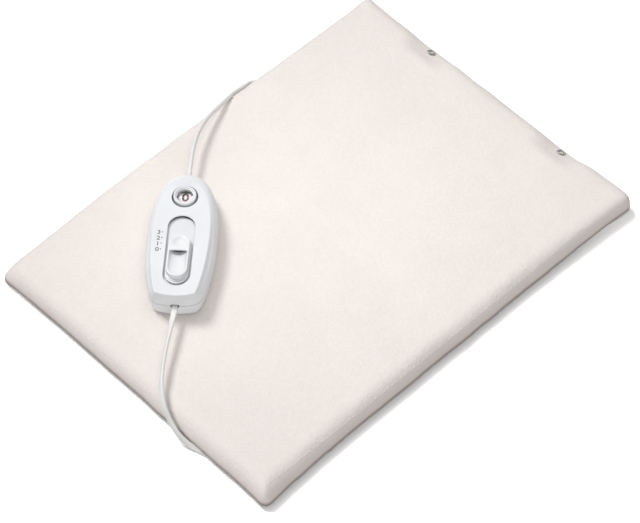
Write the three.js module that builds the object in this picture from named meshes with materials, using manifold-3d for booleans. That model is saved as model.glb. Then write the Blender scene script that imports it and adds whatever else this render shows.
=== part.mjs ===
// Heating pad with a slide-switch controller: a fleece cover over a wadded heating layer,
// the controller on its short lead, and a flat twin mains cord wound up behind the pad.
// Millimetres, +Z up. X runs along the pad and Y across it, with the origin under its middle.
import * as THREE from 'three';
import { mergeVertices } from 'three/addons/utils/BufferGeometryUtils.js';
import Module from 'manifold-3d';

const wasm = await Module();
wasm.setup();

// Gaps that pieces keep
const CLEARANCE = 0.3;
const SOFT_CLEARANCE = 0.35;
const CORD_ROOM = 1;
const MERGE_DISTANCE = 1e-4;

// Pad cover
const PAD_LENGTH = 402;
const PAD_WIDTH = 302;
const PAD_THICKNESS = 21;
const PAD_CORNER = 6;
const CORNER_STEPS = 3;
const INSIDE_CORNER = 1.5;
const FABRIC = 2.2;
const CROWN = 0.8;
const SEAM_HEIGHT = 9;
const ROLL_WIDTH = 12;
const UNDER_ROLL = 7;
const DRAW_IN = 0.8;

// Open end of the cover: two press studs pinch it, and it gapes a little between them
const LIP_LIFT = 4.2;
const LIP_SLOPE = 0.47;
const LIP_GAP = 0.4;
const LIP_WIDTH = 11;
const LIP_RIDGE = 26;
const LIP_GAPE = 0.5;
const LIP_CORNER = 24;
const PINCH_FLAT = 6;
const PINCH_REACH = 30;
const PINCH_PLACES = [-30, -15, 0, 15, 30];
const FLAP_DEPTH = 33;
const STUD_SPREAD = 147;
const STUD_SHIFT = -4;
const STUD_INSET = 5;
const RING_DIAMETER = 7;
const RING_BORE = 4;
const RING_THICKNESS = 0.9;
const SOCKET_DIAMETER = 7;
const SOCKET_THICKNESS = 1.3;
const STUD_HEAD = 3;
const STUD_HEAD_HEIGHT = 1.2;
const STUD_FLANGE = 0.8;
const STUD_SKIN = 1;

// Heating layer inside the cover
const INNER_INSET = 4;
const INNER_LIP_INSET = 25;
const INNER_CORNER = 5;
const INNER_RIM = 9;
const INNER_UNDER_ROLL = 6;
const LOWER_WADDING = 6;
const CARRIER_THICKNESS = 1;
const CARRIER_INSET = 6;
const WIRE_DIAMETER = 1.4;
const WIRE_ROWS = 9;
const WIRE_TOP_INSET = 54;
const WIRE_LOW_INSET = 38;
const WIRE_END_INSET = 45;
const WIRE_SIDE_INSET = 18;
const WIRE_RETURN_INSET = 44;
const THERMOSTAT_SIZE = [18, 8, 4];
const THERMOSTAT_ALONG = [20, -60];
const THERMOSTAT_ROWS = [1.5, 5.5];

// Entry of the lead in the side of the pad
const ENTRY_X = 76;
const ENTRY_INSET = 0.4;
const ENTRY_HEIGHT = 9;
const ENTRY_TURN = -0.6435;
const BOOT_LENGTH = 28;
const BOOT_TIP = [4.8, 6.8];
const BOOT_ROOT = [9, 7.6];
const SPLICE_SIZE = [22, 14, 8];
const SPLICE_WIRE_SPREAD = 6;

// Controller housing: an egg outline with a flat near end
const CASE_PLACE = [-132.6, 18.9];
const CASE_TURN = THREE.MathUtils.degToRad(42.5);
const CASE_LENGTH = 123;
const CASE_HALF_WIDTH = 28;
const CASE_WIDEST = 57;
const CASE_NEAR_REACH = 79;
const CASE_FAR_POWER = 2.3;
const CASE_END_BOW = 2.8;
const CASE_CORNER = 7;
const CASE_PARTING = 12;
const CASE_HEIGHT = 25;
const CASE_WALL = 2.2;
const CASE_FLOOR = 2.2;
const DECK_ROOM = 1.5;
const BASE_INSET = 5.5;

// Rings of the case bottom, below the parting line, as a height and insets at the sides and the near end
const BASE_RINGS = [[0, BASE_INSET, 1.4], [1.2, 2.9, 0.5], [4, 1, 0.1], [8, 0.2, 0]];

// Rings of the case top, below the deck, as insets at the sides, the far end and the near end,
// and as near and far heights; the ledge round the deck fades out towards the far end
const DECK_INSETS = [5.6, 12.6, 1];
const DECK_BEVEL = 0.3;
const LEDGE_INSETS = [3.4, 8.5, 0.7];
const LEDGE_DROPS = [3.6, 1.4];
const LEDGE_EDGE_INSETS = [2, 4.6, 0.5];
const LEDGE_EDGE_DROPS = [4.6, 4];
const WALL_INSETS = [0.7, 1.6, 0.3];
const WALL_RISES = [6, 5.2];
const LEDGE_FADE = [35, 105];

// Slider in its recess
const TRAVEL = 17.25;
const STEP_COUNT = 3;
const RECESS_WIDTH = 21.4;
const RECESS_START = 9.8;
const NEAR_PLAY = 4.7;
const RECESS_DEPTH = 3;
const RECESS_FLOOR = 1.6;
const RECESS_WALL = 1.8;
const END_PLAY = 1.2;
const FLANGE_LENGTH = 42.5;
const FLANGE_WIDTH = 18.6;
const FLANGE_THICKNESS = 1.4;
const KNOB_INSET = 0.9;
const KNOB_HEIGHT = 5.6;
const KNOB_RIDGE = 24.5;
const KNOB_SCOOP_DEPTH = 3.8;
const KNOB_SCOOP_RIM = 0.6;
const KNOB_DISH_RADIUS = 16;
const KNOB_DISH_PLACE = [12.5, 12.2];
const STEM_LENGTH = 10;
const STEM_WIDTH = 5;
const CARRIAGE_LENGTH = 38;
const CARRIAGE_WIDTH = 14;
const CARRIAGE_THICKNESS = 2;
const ARM_WIDTH = 10;
const ARM_THICKNESS = 1;
const ARM_OVERLAP = 2;
const DETENT_INSET = 5;
const STRIP_THICKNESS = 0.5;
const STRIP_WIDTH = 9;
const STRIP_MARGIN = 3.2;
const NOTCH_DEPTH = 0.8;
const SPRING_THICKNESS = 0.6;
const SPRING_LENGTH = 24;
const WIPER_LENGTH = 8;
const WIPER_INSET = 2;
const WIPER_SPREAD = 10;
const WIPER_THICKNESS = 0.8;

// Round number window
const WINDOW_INSET = 29;
const BEZEL_DIAMETER = 18;
const BEZEL_RISE = 2;
const BEZEL_MOAT = 0.7;
const BEZEL_SEAT_DEPTH = 1.6;
const BEZEL_SPIGOT = 15.4;
const BEZEL_BEVEL = 0.7;
const LENS_DIAMETER = 12.4;
const LENS_THICKNESS = 2.6;
const LENS_DOME = 0.8;
const LENS_BEND = 0.4;
const LENS_LEDGE = 0.7;
const WINDOW_BOSS_WALL = 1.6;

// Inside the controller
const BOARD_START = 20;
const BOARD_END_INSET = 23;
const BOARD_WIDTH = 32;
const BOARD_THICKNESS = 1.6;
const BOARD_POST_HEIGHT = 4;
const BOARD_POST_RADIUS = 2.4;
const BOARD_POST_INSET = [6.4, 3.2];
const RAIL_SIZE = [44, 2.4, 0.8];
const LED_DIAMETER = 5;
const LED_HEIGHT = 8;
const CLAMP_SIZE = [9, 12, 6];
const SADDLE_LENGTH = 7;
const CLAMP_INSET = 6;
const SCREW_DIAMETER = 2.6;
const SCREW_HEAD = 5.4;
const SCREW_HEAD_HEIGHT = 2;
const SCREW_LENGTH = 17;
const SCREW_BOSS = 6.4;
const SCREW_NEAR = [12, 13.5];
const SCREW_FAR = [17, 9];
const BOARD_PARTS = {
  film_capacitor: { place: [59, -11.8], size: [18, 7, 8.4] },
  triac: { place: [40, 11.8], size: [15, 7, 4.5] },
  terminal_block_mains: { place: [26, 0], size: [9, 16, 7] },
  terminal_block_pad: { place: [84, 11], size: [12, 9, 7] },
};
const ROUND_BOARD_PARTS = {
  fuse_link: { place: [64, 11.8], diameter: 5, length: 20 },
  power_resistor: { place: [38, -11.8], diameter: 4.4, length: 13 },
};

// Flat twin cord
const CORD_WIDTH = 4.8;
const CORD_THICKNESS = 2.8;
const MAINS_STEP = 11.2;
const LEAD_STEP = 7;
const LEAD_STRAIGHT = 6;

// Put-away coil of the mains cord, standing on the cord's edge
const COIL_CENTRE = [224, 236];
const COIL_RADIUS = 35;
const COIL_START = THREE.MathUtils.degToRad(-10);
const COIL_END = THREE.MathUtils.degToRad(90);
const COIL_WHOLE_TURNS = 5;
const COIL_PITCH = 4.6;
const COIL_LIFT = 1.3;
const COIL_LAYER_GAP = 0.5;
const COIL_CLIMB = 0.12;
const COIL_STEPS_PER_TURN = 24;
const COIL_LEAD_IN = 24;
const COIL_TAIL = 27;
const TIE_ANGLE = THREE.MathUtils.degToRad(20);
const TIE_WIDTH = 6;
const TIE_THICKNESS = 0.7;
const TIE_CLEARANCE = 0.5;

// Mains plug
const PLUG_AXIS_HEIGHT = 7.3;
const PLUG_BOOT_LENGTH = 22;
const PLUG_BODY_LENGTH = 36;
const PLUG_BODY_WIDTH = 35;
const PLUG_BODY_HEIGHT = 13.8;
const PLUG_BACK = [15.8, 11];
const PLUG_WAIST = [29.8, 20];
const PLUG_FACE_LAND = 4;
const PLUG_BOOT_END = [11, 9.4];
const PLUG_BOOT_GRIP = 0.8;
const PLUG_PIN_DIAMETER = 4;
const PLUG_PIN_LENGTH = 19;
const PLUG_PIN_SPREAD = 18.6;

const { clamp, lerp, smoothstep } = THREE.MathUtils;
const V2 = THREE.Vector2;
const V3 = THREE.Vector3;

// Materials
const standard = (color, roughness, metalness = 0) =>
  new THREE.MeshStandardMaterial({ color, roughness, metalness });
const fleece = standard(0xf3ece4, 0.95);
const wadding = standard(0xf6f4ef, 1);
const carrierCloth = standard(0xe4dfd2, 0.95);
const wireInsulation = standard(0xb5523c, 0.6);
const casePlastic = standard(0xf1f3f5, 0.35);
const knobPlastic = standard(0xf4f5f6, 0.3);
const innerPlastic = standard(0xd9d9d6, 0.5);
const numberPlastic = standard(0xf0dcdc, 0.5);
const lensPlastic = standard(0xf6eef0, 0.05);
const cordPlastic = standard(0xeeeeec, 0.45);
const plugPlastic = standard(0xf0f0ee, 0.4);
const steel = standard(0xc9c9c6, 0.3, 1);
const brass = standard(0xc9a54e, 0.35, 1);
const board = standard(0x2f6b45, 0.6);
const darkPart = standard(0x2c2d30, 0.5);
const ledPlastic = standard(0xc23b45, 0.3);

// Solids
function solidOf(geometry) {
  const bare = geometry.clone();
  bare.deleteAttribute('normal');
  bare.deleteAttribute('uv');
  const merged = mergeVertices(bare, MERGE_DISTANCE);
  const triangles = [];
  for (let i = 0; i < merged.index.count; i += 3) {
    const [a, b, c] = [0, 1, 2].map((k) => merged.index.getX(i + k));
    if (a !== b && b !== c && c !== a) triangles.push(a, b, c);
  }
  return new wasm.Manifold(new wasm.Mesh({
    numProp: 3,
    vertProperties: new Float32Array(merged.attributes.position.array),
    triVerts: new Uint32Array(triangles),
  }));
}

function geometryOf(solid) {
  const { vertProperties, triVerts } = solid.getMesh();
  const geometry = new THREE.BufferGeometry();
  geometry.setAttribute('position', new THREE.BufferAttribute(Float32Array.from(vertProperties), 3));
  geometry.setIndex(new THREE.BufferAttribute(Uint32Array.from(triVerts), 1));
  return geometry;
}

const join = (first, ...others) =>
  geometryOf(others.reduce((all, other) => all.add(solidOf(other)), solidOf(first)));
const cut = (first, ...tools) =>
  geometryOf(tools.reduce((all, tool) => all.subtract(solidOf(tool)), solidOf(first)));
const keep = (first, tool) => geometryOf(solidOf(first).intersect(solidOf(tool)));

// A closed skin over rings of equal point counts, with a fan on the first and the last ring
function loft(rings) {
  const count = rings[0].length;
  const points = rings.flat();
  const index = [];
  for (let r = 0; r + 1 < rings.length; r++) {
    for (let i = 0; i < count; i++) {
      const a = r * count + i;
      const b = r * count + ((i + 1) % count);
      index.push(a, b, b + count, a, b + count, a + count);
    }
  }
  const fan = (ring, start, flip) => {
    const centre = ring.reduce((sum, p) => sum.add(p), new V3()).divideScalar(count);
    const hub = points.push(centre) - 1;
    for (let i = 0; i < count; i++) {
      const a = start + i;
      const b = start + ((i + 1) % count);
      index.push(...(flip ? [a, b, hub] : [b, a, hub]));
    }
  };
  fan(rings[0], 0, false);
  fan(rings.at(-1), (rings.length - 1) * count, true);
  return facingOut(new THREE.BufferGeometry().setFromPoints(points).setIndex(index));
}

function facingOut(geometry) {
  const at = (k) => new V3().fromBufferAttribute(geometry.attributes.position, geometry.index.getX(k));
  let volume = 0;
  for (let i = 0; i < geometry.index.count; i += 3) {
    volume += at(i).dot(at(i + 1).cross(at(i + 2)));
  }
  if (volume < 0) geometry.index.array.reverse();
  return geometry;
}

// A prism of a flat shape between two heights
function prism(shape, low, high, curveSegments = 8) {
  const geometry = new THREE.ExtrudeGeometry(shape, {
    depth: high - low, bevelEnabled: false, curveSegments,
  });
  return geometry.translate(0, 0, low);
}

const block = (size, centre) => new THREE.BoxGeometry(...size).translate(...centre);
const blockOn = ([length, width, height], [x, y], low) =>
  block([length, width, height], [x, y, low + height / 2]);
const post = (diameter, low, high, [x, y] = [0, 0], sides = 10) =>
  new THREE.CylinderGeometry(diameter / 2, diameter / 2, high - low, sides)
    .rotateX(Math.PI / 2).translate(x, y, (low + high) / 2);

// A turned piece from [radius, height] pairs that start and end on the axis
function turned(profile, sides = 24) {
  const points = profile.map(([radius, height]) => new V2(radius, height));
  return facingOut(geometryOf(solidOf(new THREE.LatheGeometry(points, sides).rotateX(Math.PI / 2))));
}

// A flat ring or tube from [radius, height] pairs round its section
function turnedRing(section, sides = 16) {
  return turned([...section, section[0]], sides);
}

function pill(length, width, start) {
  const radius = width / 2;
  const shape = new THREE.Shape();
  shape.absarc(start + length - radius, 0, radius, -Math.PI / 2, Math.PI / 2);
  shape.absarc(start + radius, 0, radius, Math.PI / 2, 1.5 * Math.PI);
  return shape.closePath();
}

// A route through fixed points, with the direction that the flat side faces at each one
class Route extends THREE.Curve {
  constructor(points, ups) {
    super();
    this.points = points;
    this.ups = ups;
  }

  getSpacedPoints() {
    return this.points;
  }

  computeFrenetFrames() {
    const last = this.points.length - 1;
    const tangents = this.points.map((p, i) =>
      this.points[Math.min(i + 1, last)].clone().sub(this.points[Math.max(i - 1, 0)]).normalize());
    const normals = this.ups.map((up, i) =>
      up.clone().addScaledVector(tangents[i], -up.dot(tangents[i])).normalize());
    const binormals = tangents.map((tangent, i) => tangent.clone().cross(normals[i]));
    return { tangents, normals, binormals };
  }
}

// A smooth route through a few points, resampled at even steps
function smoothRoute(places, facings, step) {
  const curve = new THREE.CatmullRomCurve3(places.map((p) => new V3(...p)), false, 'centripetal');
  const count = Math.round(curve.getLength() / step);
  const points = curve.getSpacedPoints(count);
  const ups = points.map((_, i) => {
    const along = curve.getUtoTmapping(i / count) * (places.length - 1);
    const k = Math.min(Math.floor(along), places.length - 2);
    return new V3(...facings[k]).lerp(new V3(...facings[k + 1]), along - k).normalize();
  });
  return new Route(points, ups);
}

function sweep(route, section) {
  return new THREE.ExtrudeGeometry(new THREE.Shape(section), {
    steps: route.points.length - 1, bevelEnabled: false, extrudePath: route,
  });
}

const flatSection = (thickness, width) => [
  [0.5, -0.3], [0.5, 0.3], [0.28, 0.5], [-0.28, 0.5],
  [-0.5, 0.3], [-0.5, -0.3], [-0.28, -0.5], [0.28, -0.5],
].map(([t, w]) => new V2(t * thickness, w * width));
const loopSection = (thickness, width) => [
  [0.5, -0.28], [0.5, 0.28], [0, 0.5], [-0.5, 0.28], [-0.5, -0.28], [0, -0.5],
].map(([t, w]) => new V2(t * thickness, w * width));
const bedSection = (thickness, width) => [
  [0.5, -0.5], [0.5, 0.5], [-0.5, 0.5], [-0.5, -0.5],
].map(([t, w]) => new V2(t * thickness, w * width));

const roundSection = (diameter, sides) => Array.from({ length: sides }, (_, k) => {
  const angle = (2 * k * Math.PI) / sides;
  return new V2(Math.cos(angle), Math.sin(angle)).multiplyScalar(diameter / 2);
});

// The room that the soft pad leaves for a cord pressed into it
const cordBed = (route) =>
  sweep(route, bedSection(CORD_THICKNESS + 2 * CORD_ROOM, CORD_WIDTH + 2 * CORD_ROOM));

const part = new THREE.Group();
const controller = new THREE.Group();
const CASE_BASE = PAD_THICKNESS + CLEARANCE;
controller.position.set(...CASE_PLACE, CASE_BASE);
controller.rotation.z = CASE_TURN;
part.add(controller);

function add(parent, name, geometry, material) {
  const mesh = new THREE.Mesh(geometry, material);
  mesh.name = name;
  parent.add(mesh);
  return mesh;
}

// Routes of the two cords, in the pad's frame
const casePoint = (along) => [
  CASE_PLACE[0] + along * Math.cos(CASE_TURN),
  CASE_PLACE[1] + along * Math.sin(CASE_TURN),
  CASE_BASE + CASE_PARTING,
];
const UP = [0, 0, 1];
const leftOf = (direction) => new V3(-direction.y, direction.x, 0);
const outOfCase = leftOf(new V3(Math.cos(CASE_TURN), Math.sin(CASE_TURN), 0)).toArray();
const ON_EDGE = [-0.7, 0.65, 0.28];
const MAINS_ROUTE = [
  [casePoint(CLAMP_INSET - CLEARANCE), UP],
  [casePoint(-3), UP],
  [casePoint(-8), UP],
  [[-144.4, 9.2, 33.1], [-0.35, 0.3, 0.88]],
  [[-152, 3.6, 32.5], [-0.6, 0.55, 0.58]],
  [[-161.4, -3.4, 31.8], ON_EDGE],
  [[-171.4, -11.2, 30.9], ON_EDGE],
  [[-180.9, -19.3, 29.8], ON_EDGE],
  [[-188.9, -26.9, 28.4], [-0.75, 0.5, 0.42]],
  [[-194.5, -33.7, 26.4], [-0.75, 0.35, 0.55]],
  [[-198.4, -39.8, 23.3], [-0.75, 0.2, 0.62]],
  [[-200.5, -45.2, 19.4], [-0.85, 0.1, 0.5]],
  [[-201.7, -50.6, 15.2], [-0.92, 0, 0.4]],
  [[-202.6, -56.8, 11.2], [-0.95, 0, 0.3]],
  [[-202.3, -62.8, 7], [-0.9, 0, 0.42]],
  [[-201, -68.4, 3.9], [-0.75, 0, 0.65]],
  [[-198.9, -74.6, 2.3], [-0.4, 0, 0.9]],
  [[-195, -86, 1.65], UP],
  [[-187.5, -98.5, 1.65], UP],
  [[-176, -109.5, 1.65], UP],
  [[-162, -115.2, 1.65], UP],
  [[-147, -114, 1.65], UP],
  [[-132, -106, 1.65], UP],
  [[-92, -75.2, 1.65], UP],
  [[-40, -35, 1.65], UP],
  [[12, 5, 1.65], UP],
  [[64, 45.2, 1.65], UP],
  [[116, 85.3, 1.65], UP],
  [[160, 119.3, 1.65], UP],
  [[190, 142.4, 1.65], UP],
  [[206, 154.8, 1.65], UP],
  [[222, 167.2, 1.65], UP],
];
const entryPlace = new V3(ENTRY_X, PAD_WIDTH / 2 - ENTRY_INSET, ENTRY_HEIGHT);
const entryDirection = new V3(Math.cos(ENTRY_TURN), Math.sin(ENTRY_TURN), 0);
const intoPad = leftOf(entryDirection).toArray();
const OVER_EDGE = [-0.2, 1, 0];
const LEAD_ROUTE = [
  [casePoint(CASE_LENGTH - CLAMP_INSET + CLEARANCE), outOfCase],
  [casePoint(CASE_LENGTH + 3), outOfCase],
  [[-34.8, 108.3, 33.7], outOfCase],
  [[-28, 114.2, 34.1], outOfCase],
  [[-19.4, 121.2, 34.2], outOfCase],
  [[-8.7, 128.8, 33.7], [-0.6, 0.8, 0]],
  [[3, 134.8, 32.2], [-0.45, 0.9, 0]],
  [[12.4, 138.6, 30.2], [-0.35, 0.93, 0]],
  [[22.6, 141.6, 27.6], [-0.3, 0.95, 0]],
  [[32.4, 144.4, 24.6], [-0.3, 0.95, 0]],
  [[41.4, 147.4, 21], OVER_EDGE],
  [[49.4, 150.6, 16.6], OVER_EDGE],
  [[56.6, 153, 12.5], OVER_EDGE],
  [[64, 154.3, 9.9], [0.1, 1, 0]],
  [entryPlace.clone().addScaledVector(entryDirection, -LEAD_STRAIGHT).toArray(), intoPad],
  [entryPlace.toArray(), intoPad],
];
const routeOf = (places, step) =>
  smoothRoute(places.map(([place]) => place), places.map(([, facing]) => facing), step);
const mainsRoute = routeOf(MAINS_ROUTE, MAINS_STEP);
const leadRoute = routeOf(LEAD_ROUTE, LEAD_STEP);
const mainsBed = cordBed(mainsRoute);
const leadBed = cordBed(leadRoute);

// Round room where the mains cord twists on its way down the side of the pad
const twistPoints = mainsRoute.points.filter(({ z }) => z > CORD_THICKNESS / 2 + CORD_ROOM);
const twistBed = sweep(
  new Route(twistPoints, twistPoints.map(() => new V3(...outOfCase))),
  roundSection(CORD_WIDTH + 2 * CORD_ROOM, 10),
);

// Pad outline, counter-clockwise from the +X -Y corner
const SIDE_POINTS = 3;
const SIDE_SHARES = Array.from({ length: SIDE_POINTS }, (_, i) => (i + 1) / (SIDE_POINTS + 1));
const STUD_PLACES = [STUD_SHIFT + STUD_SPREAD / 2, STUD_SHIFT - STUD_SPREAD / 2];
const OPEN_PLACES = [...STUD_PLACES].reverse().flatMap((y) => PINCH_PLACES.map((step) => y + step));
OPEN_PLACES.splice(PINCH_PLACES.length, 0, STUD_SHIFT);

const COVER_OUTLINE = {
  low: -PAD_LENGTH / 2, high: PAD_LENGTH / 2, half: PAD_WIDTH / 2, corner: PAD_CORNER,
};

function padOutline(inset, { low, high, half, corner } = COVER_OUTLINE) {
  const radius = Math.max(corner - inset, INSIDE_CORNER);
  const sides = [low + inset + radius, high - inset - radius];
  const reach = half - inset - radius;
  const centres = [[sides[1], -reach], [sides[1], reach], [sides[0], reach], [sides[0], -reach]];
  const openShares = OPEN_PLACES.map((y) => (y + reach) / (2 * reach));
  const points = [];
  centres.forEach(([x, y], k) => {
    const start = (k - 1) * Math.PI / 2;
    for (let i = 0; i <= CORNER_STEPS; i++) {
      const angle = start + (i / CORNER_STEPS) * Math.PI / 2;
      points.push({ x: x + radius * Math.cos(angle), y: y + radius * Math.sin(angle), open: false });
    }
    const [nextX, nextY] = centres[(k + 1) % 4];
    const angle = start + Math.PI / 2;
    const [outX, outY] = [Math.cos(angle), Math.sin(angle)];
    for (const along of k === 0 ? openShares : SIDE_SHARES) {
      const out = radius - 4 * DRAW_IN * along * (1 - along);
      const open = k === 0;
      points.push({ x: lerp(x, nextX, along) + out * outX, y: lerp(y, nextY, along) + out * outY, open });
    }
  });
  return points;
}

// How far the open end is pinched at each outline point: fully at a press stud, not at all at a corner
function openShare({ y, open }) {
  if (!open) return 0;
  const fromStud = Math.min(...STUD_PLACES.map((place) => Math.abs(y - place)));
  const fromCorner = PAD_WIDTH / 2 - PAD_CORNER - Math.abs(y);
  const pinch = 1 - smoothstep(fromStud, PINCH_FLAT, PINCH_REACH);
  return lerp(LIP_GAPE, 1, pinch) * smoothstep(fromCorner, 0, LIP_CORNER);
}

const outlineShares = padOutline(0).map(openShare);

// Rings of a panel from a profile of [inset, height] pairs at each outline point
function panelRings(profileAt, outline) {
  const profiles = outlineShares.map((share) => profileAt(share));
  return profiles[0].map((_, k) => profiles.map((profile, i) => {
    const { x, y } = padOutline(profile[k][0], outline)[i];
    return new V3(x, y, profile[k][1]);
  }));
}

function offsetProfile(profile, distance) {
  return profile.map(([inset, height], k) => {
    const [beforeInset, beforeHeight] = profile[Math.max(k - 1, 0)];
    const [afterInset, afterHeight] = profile[Math.min(k + 1, profile.length - 1)];
    const run = afterInset - beforeInset;
    const rise = afterHeight - beforeHeight;
    const length = Math.hypot(run, rise);
    return [inset + distance * rise / length, height - distance * run / length];
  });
}

const roll = (inset, width) => Math.sqrt(1 - clamp((width - inset) / width, 0, 1) ** 2);
const underRoll = (inset, width) => 1 - roll(inset, width);

// Heights of the two panels at the sewn rim and at the open lip
const LIP_SKIN = FABRIC * Math.hypot(1, LIP_SLOPE);
const LIP_TOP = LIP_LIFT + 2 * LIP_SKIN + LIP_GAP;
const SHOULDER = PAD_THICKNESS - CROWN;
const crownAt = (inset) => CROWN * smoothstep(inset, ROLL_WIDTH, PAD_WIDTH / 3);
const rimTop = (inset) =>
  lerp(SEAM_HEIGHT + CLEARANCE / 2, SHOULDER, roll(inset, ROLL_WIDTH)) + crownAt(inset);
const lipTop = (inset) =>
  lerp(LIP_TOP + LIP_SLOPE * inset, SHOULDER, smoothstep(inset, LIP_WIDTH, LIP_RIDGE)) + crownAt(inset);
const rimUnder = (inset) => (SEAM_HEIGHT - CLEARANCE / 2) * underRoll(inset, UNDER_ROLL);
const lipUnder = (inset) =>
  (LIP_LIFT + LIP_SLOPE * inset) * (1 - smoothstep(inset, LIP_WIDTH, LIP_RIDGE));

const TOP_INSETS = [0, 0.5, 1.6, 3.2, 5.4, 8.4, ROLL_WIDTH, 16, 20, LIP_RIDGE, PAD_WIDTH / 3];
const UNDER_INSETS = [0, 0.8, 2.2, 4.4, UNDER_ROLL + 0.2, LIP_WIDTH, 15, 20, LIP_RIDGE + 1];

function coverTop() {
  const outside = (open) => TOP_INSETS.map((s) => [s, lerp(rimTop(s), lipTop(s), open)]);
  const inside = (open) => {
    const seam = lerp(SEAM_HEIGHT, LIP_LIFT + LIP_SKIN + LIP_GAP / 2, open) + CLEARANCE / 2;
    return offsetProfile(outside(open), FABRIC).map(([s, z]) => [s, Math.max(z, seam)]);
  };
  const outer = panelRings(outside);
  const inner = panelRings(inside);
  return loft([...outer.reverse(), ...inner]);
}

function coverBottom() {
  const outside = (open) => UNDER_INSETS.map((s) => [s, lerp(rimUnder(s), lipUnder(s), open)]);
  const inside = (open) => {
    const seam = lerp(SEAM_HEIGHT - CLEARANCE / 2, LIP_LIFT + LIP_SKIN, open);
    return offsetProfile(outside(open), -FABRIC).map(([s, z], k) =>
      [Math.max(s, 0), k === 0 ? Math.min(z, seam) : z]);
  };
  const outer = panelRings(outside);
  const inner = panelRings(inside);
  return loft([...outer.reverse(), ...inner]);
}

// The wadded heating layer, before it is sliced into its sheets
const INNER_OUTLINE = {
  low: -PAD_LENGTH / 2 + INNER_INSET,
  high: PAD_LENGTH / 2 - INNER_LIP_INSET,
  half: PAD_WIDTH / 2 - INNER_INSET,
  corner: INNER_CORNER,
};
const INNER_TOP = SHOULDER - FABRIC - SOFT_CLEARANCE;
const INNER_LOW = FABRIC + SOFT_CLEARANCE;
const INNER_ROLL = ROLL_WIDTH - INNER_INSET;
const INNER_UNDER_INSETS = [INNER_UNDER_ROLL, 4, 2, 0.7, 0];
const INNER_TOP_INSETS = [0, 0.8, 2.2, 4.4, INNER_ROLL];

function innerLayer() {
  const profile = [
    ...INNER_UNDER_INSETS.map((s) => [s, lerp(INNER_LOW, INNER_RIM, underRoll(s, INNER_UNDER_ROLL))]),
    ...INNER_TOP_INSETS.slice(1).map((s) => [s, lerp(INNER_RIM, INNER_TOP, roll(s, INNER_ROLL))]),
  ];
  return loft(panelRings(() => profile, INNER_OUTLINE));
}

const slab = (low, high) => block([2 * PAD_LENGTH, 2 * PAD_WIDTH, high - low], [0, 0, (low + high) / 2]);

const LOWER_TOP = INNER_LOW + LOWER_WADDING;
const CARRIER_LOW = LOWER_TOP + CLEARANCE;
const CARRIER_TOP = CARRIER_LOW + CARRIER_THICKNESS;
const WIRE_HEIGHT = CARRIER_TOP + CLEARANCE + WIRE_DIAMETER / 2;
const UPPER_LOW = WIRE_HEIGHT + WIRE_DIAMETER / 2 + CLEARANCE;

// Lead entry: boot and splice share one turned group
const entry = new THREE.Group();
entry.position.copy(entryPlace);
entry.rotation.z = ENTRY_TURN;
part.add(entry);
entry.updateMatrixWorld(true);
const SPLICE_START = 2 * CLEARANCE + BOOT_LENGTH;

const crossRing = (x, [width, height]) => [
  [0.5, -0.3], [0.5, 0.3], [0.3, 0.5], [-0.3, 0.5], [-0.5, 0.3], [-0.5, -0.3], [-0.3, -0.5], [0.3, -0.5],
].map(([w, h]) => new V3(x, w * width, h * height));
const bootShape = (extra, [low, high]) => loft([
  crossRing(low, BOOT_TIP.map((size) => size + 2 * extra)),
  crossRing(high, BOOT_ROOT.map((size) => size + 2 * extra)),
]);
const spliceShape = (extra) => block(
  SPLICE_SIZE.map((size) => size + 2 * extra),
  [SPLICE_START + SPLICE_SIZE[0] / 2, 0, 0],
);
const bootRoom = bootShape(SOFT_CLEARANCE, [-CORD_WIDTH, SPLICE_START]).applyMatrix4(entry.matrixWorld);
const spliceRoom = spliceShape(SOFT_CLEARANCE).applyMatrix4(entry.matrixWorld);

// Press studs stand square to the sloping lip
const STUD_TILT = Math.atan(LIP_SLOPE);
function studX(y) {
  const along = (PAD_WIDTH / 2 - PAD_CORNER - y) / (PAD_WIDTH - 2 * PAD_CORNER);
  return PAD_LENGTH / 2 - STUD_INSET - 4 * DRAW_IN * along * (1 - along);
}
const studTop = LIP_TOP + LIP_SLOPE * STUD_INSET;
const LIP_LAYER_GAP = LIP_GAP / Math.hypot(1, LIP_SLOPE);
const LOWER_SKIN_TOP = -FABRIC - LIP_LAYER_GAP;
const SOCKET_TOP = -STUD_SKIN - CLEARANCE;
const SOCKET_LOW = SOCKET_TOP - SOCKET_THICKNESS;
const STUD_TOP_FACE = SOCKET_LOW - CLEARANCE;
const STUD_LOW = STUD_TOP_FACE - STUD_FLANGE;
const LOWER_RING_TOP = LOWER_SKIN_TOP - FABRIC - CLEARANCE;

function ringShape(low, dome) {
  const outer = RING_DIAMETER / 2;
  const inner = RING_BORE / 2;
  const high = low + RING_THICKNESS;
  const soft = RING_THICKNESS / 3;
  const [flat, round] = dome > 0 ? [low, high] : [high, low];
  const bend = flat + (round - flat) * 0.55;
  return turnedRing([
    [inner, flat], [outer, flat], [outer, bend], [outer - soft, round], [inner + soft, round], [inner, bend],
  ]);
}

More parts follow.
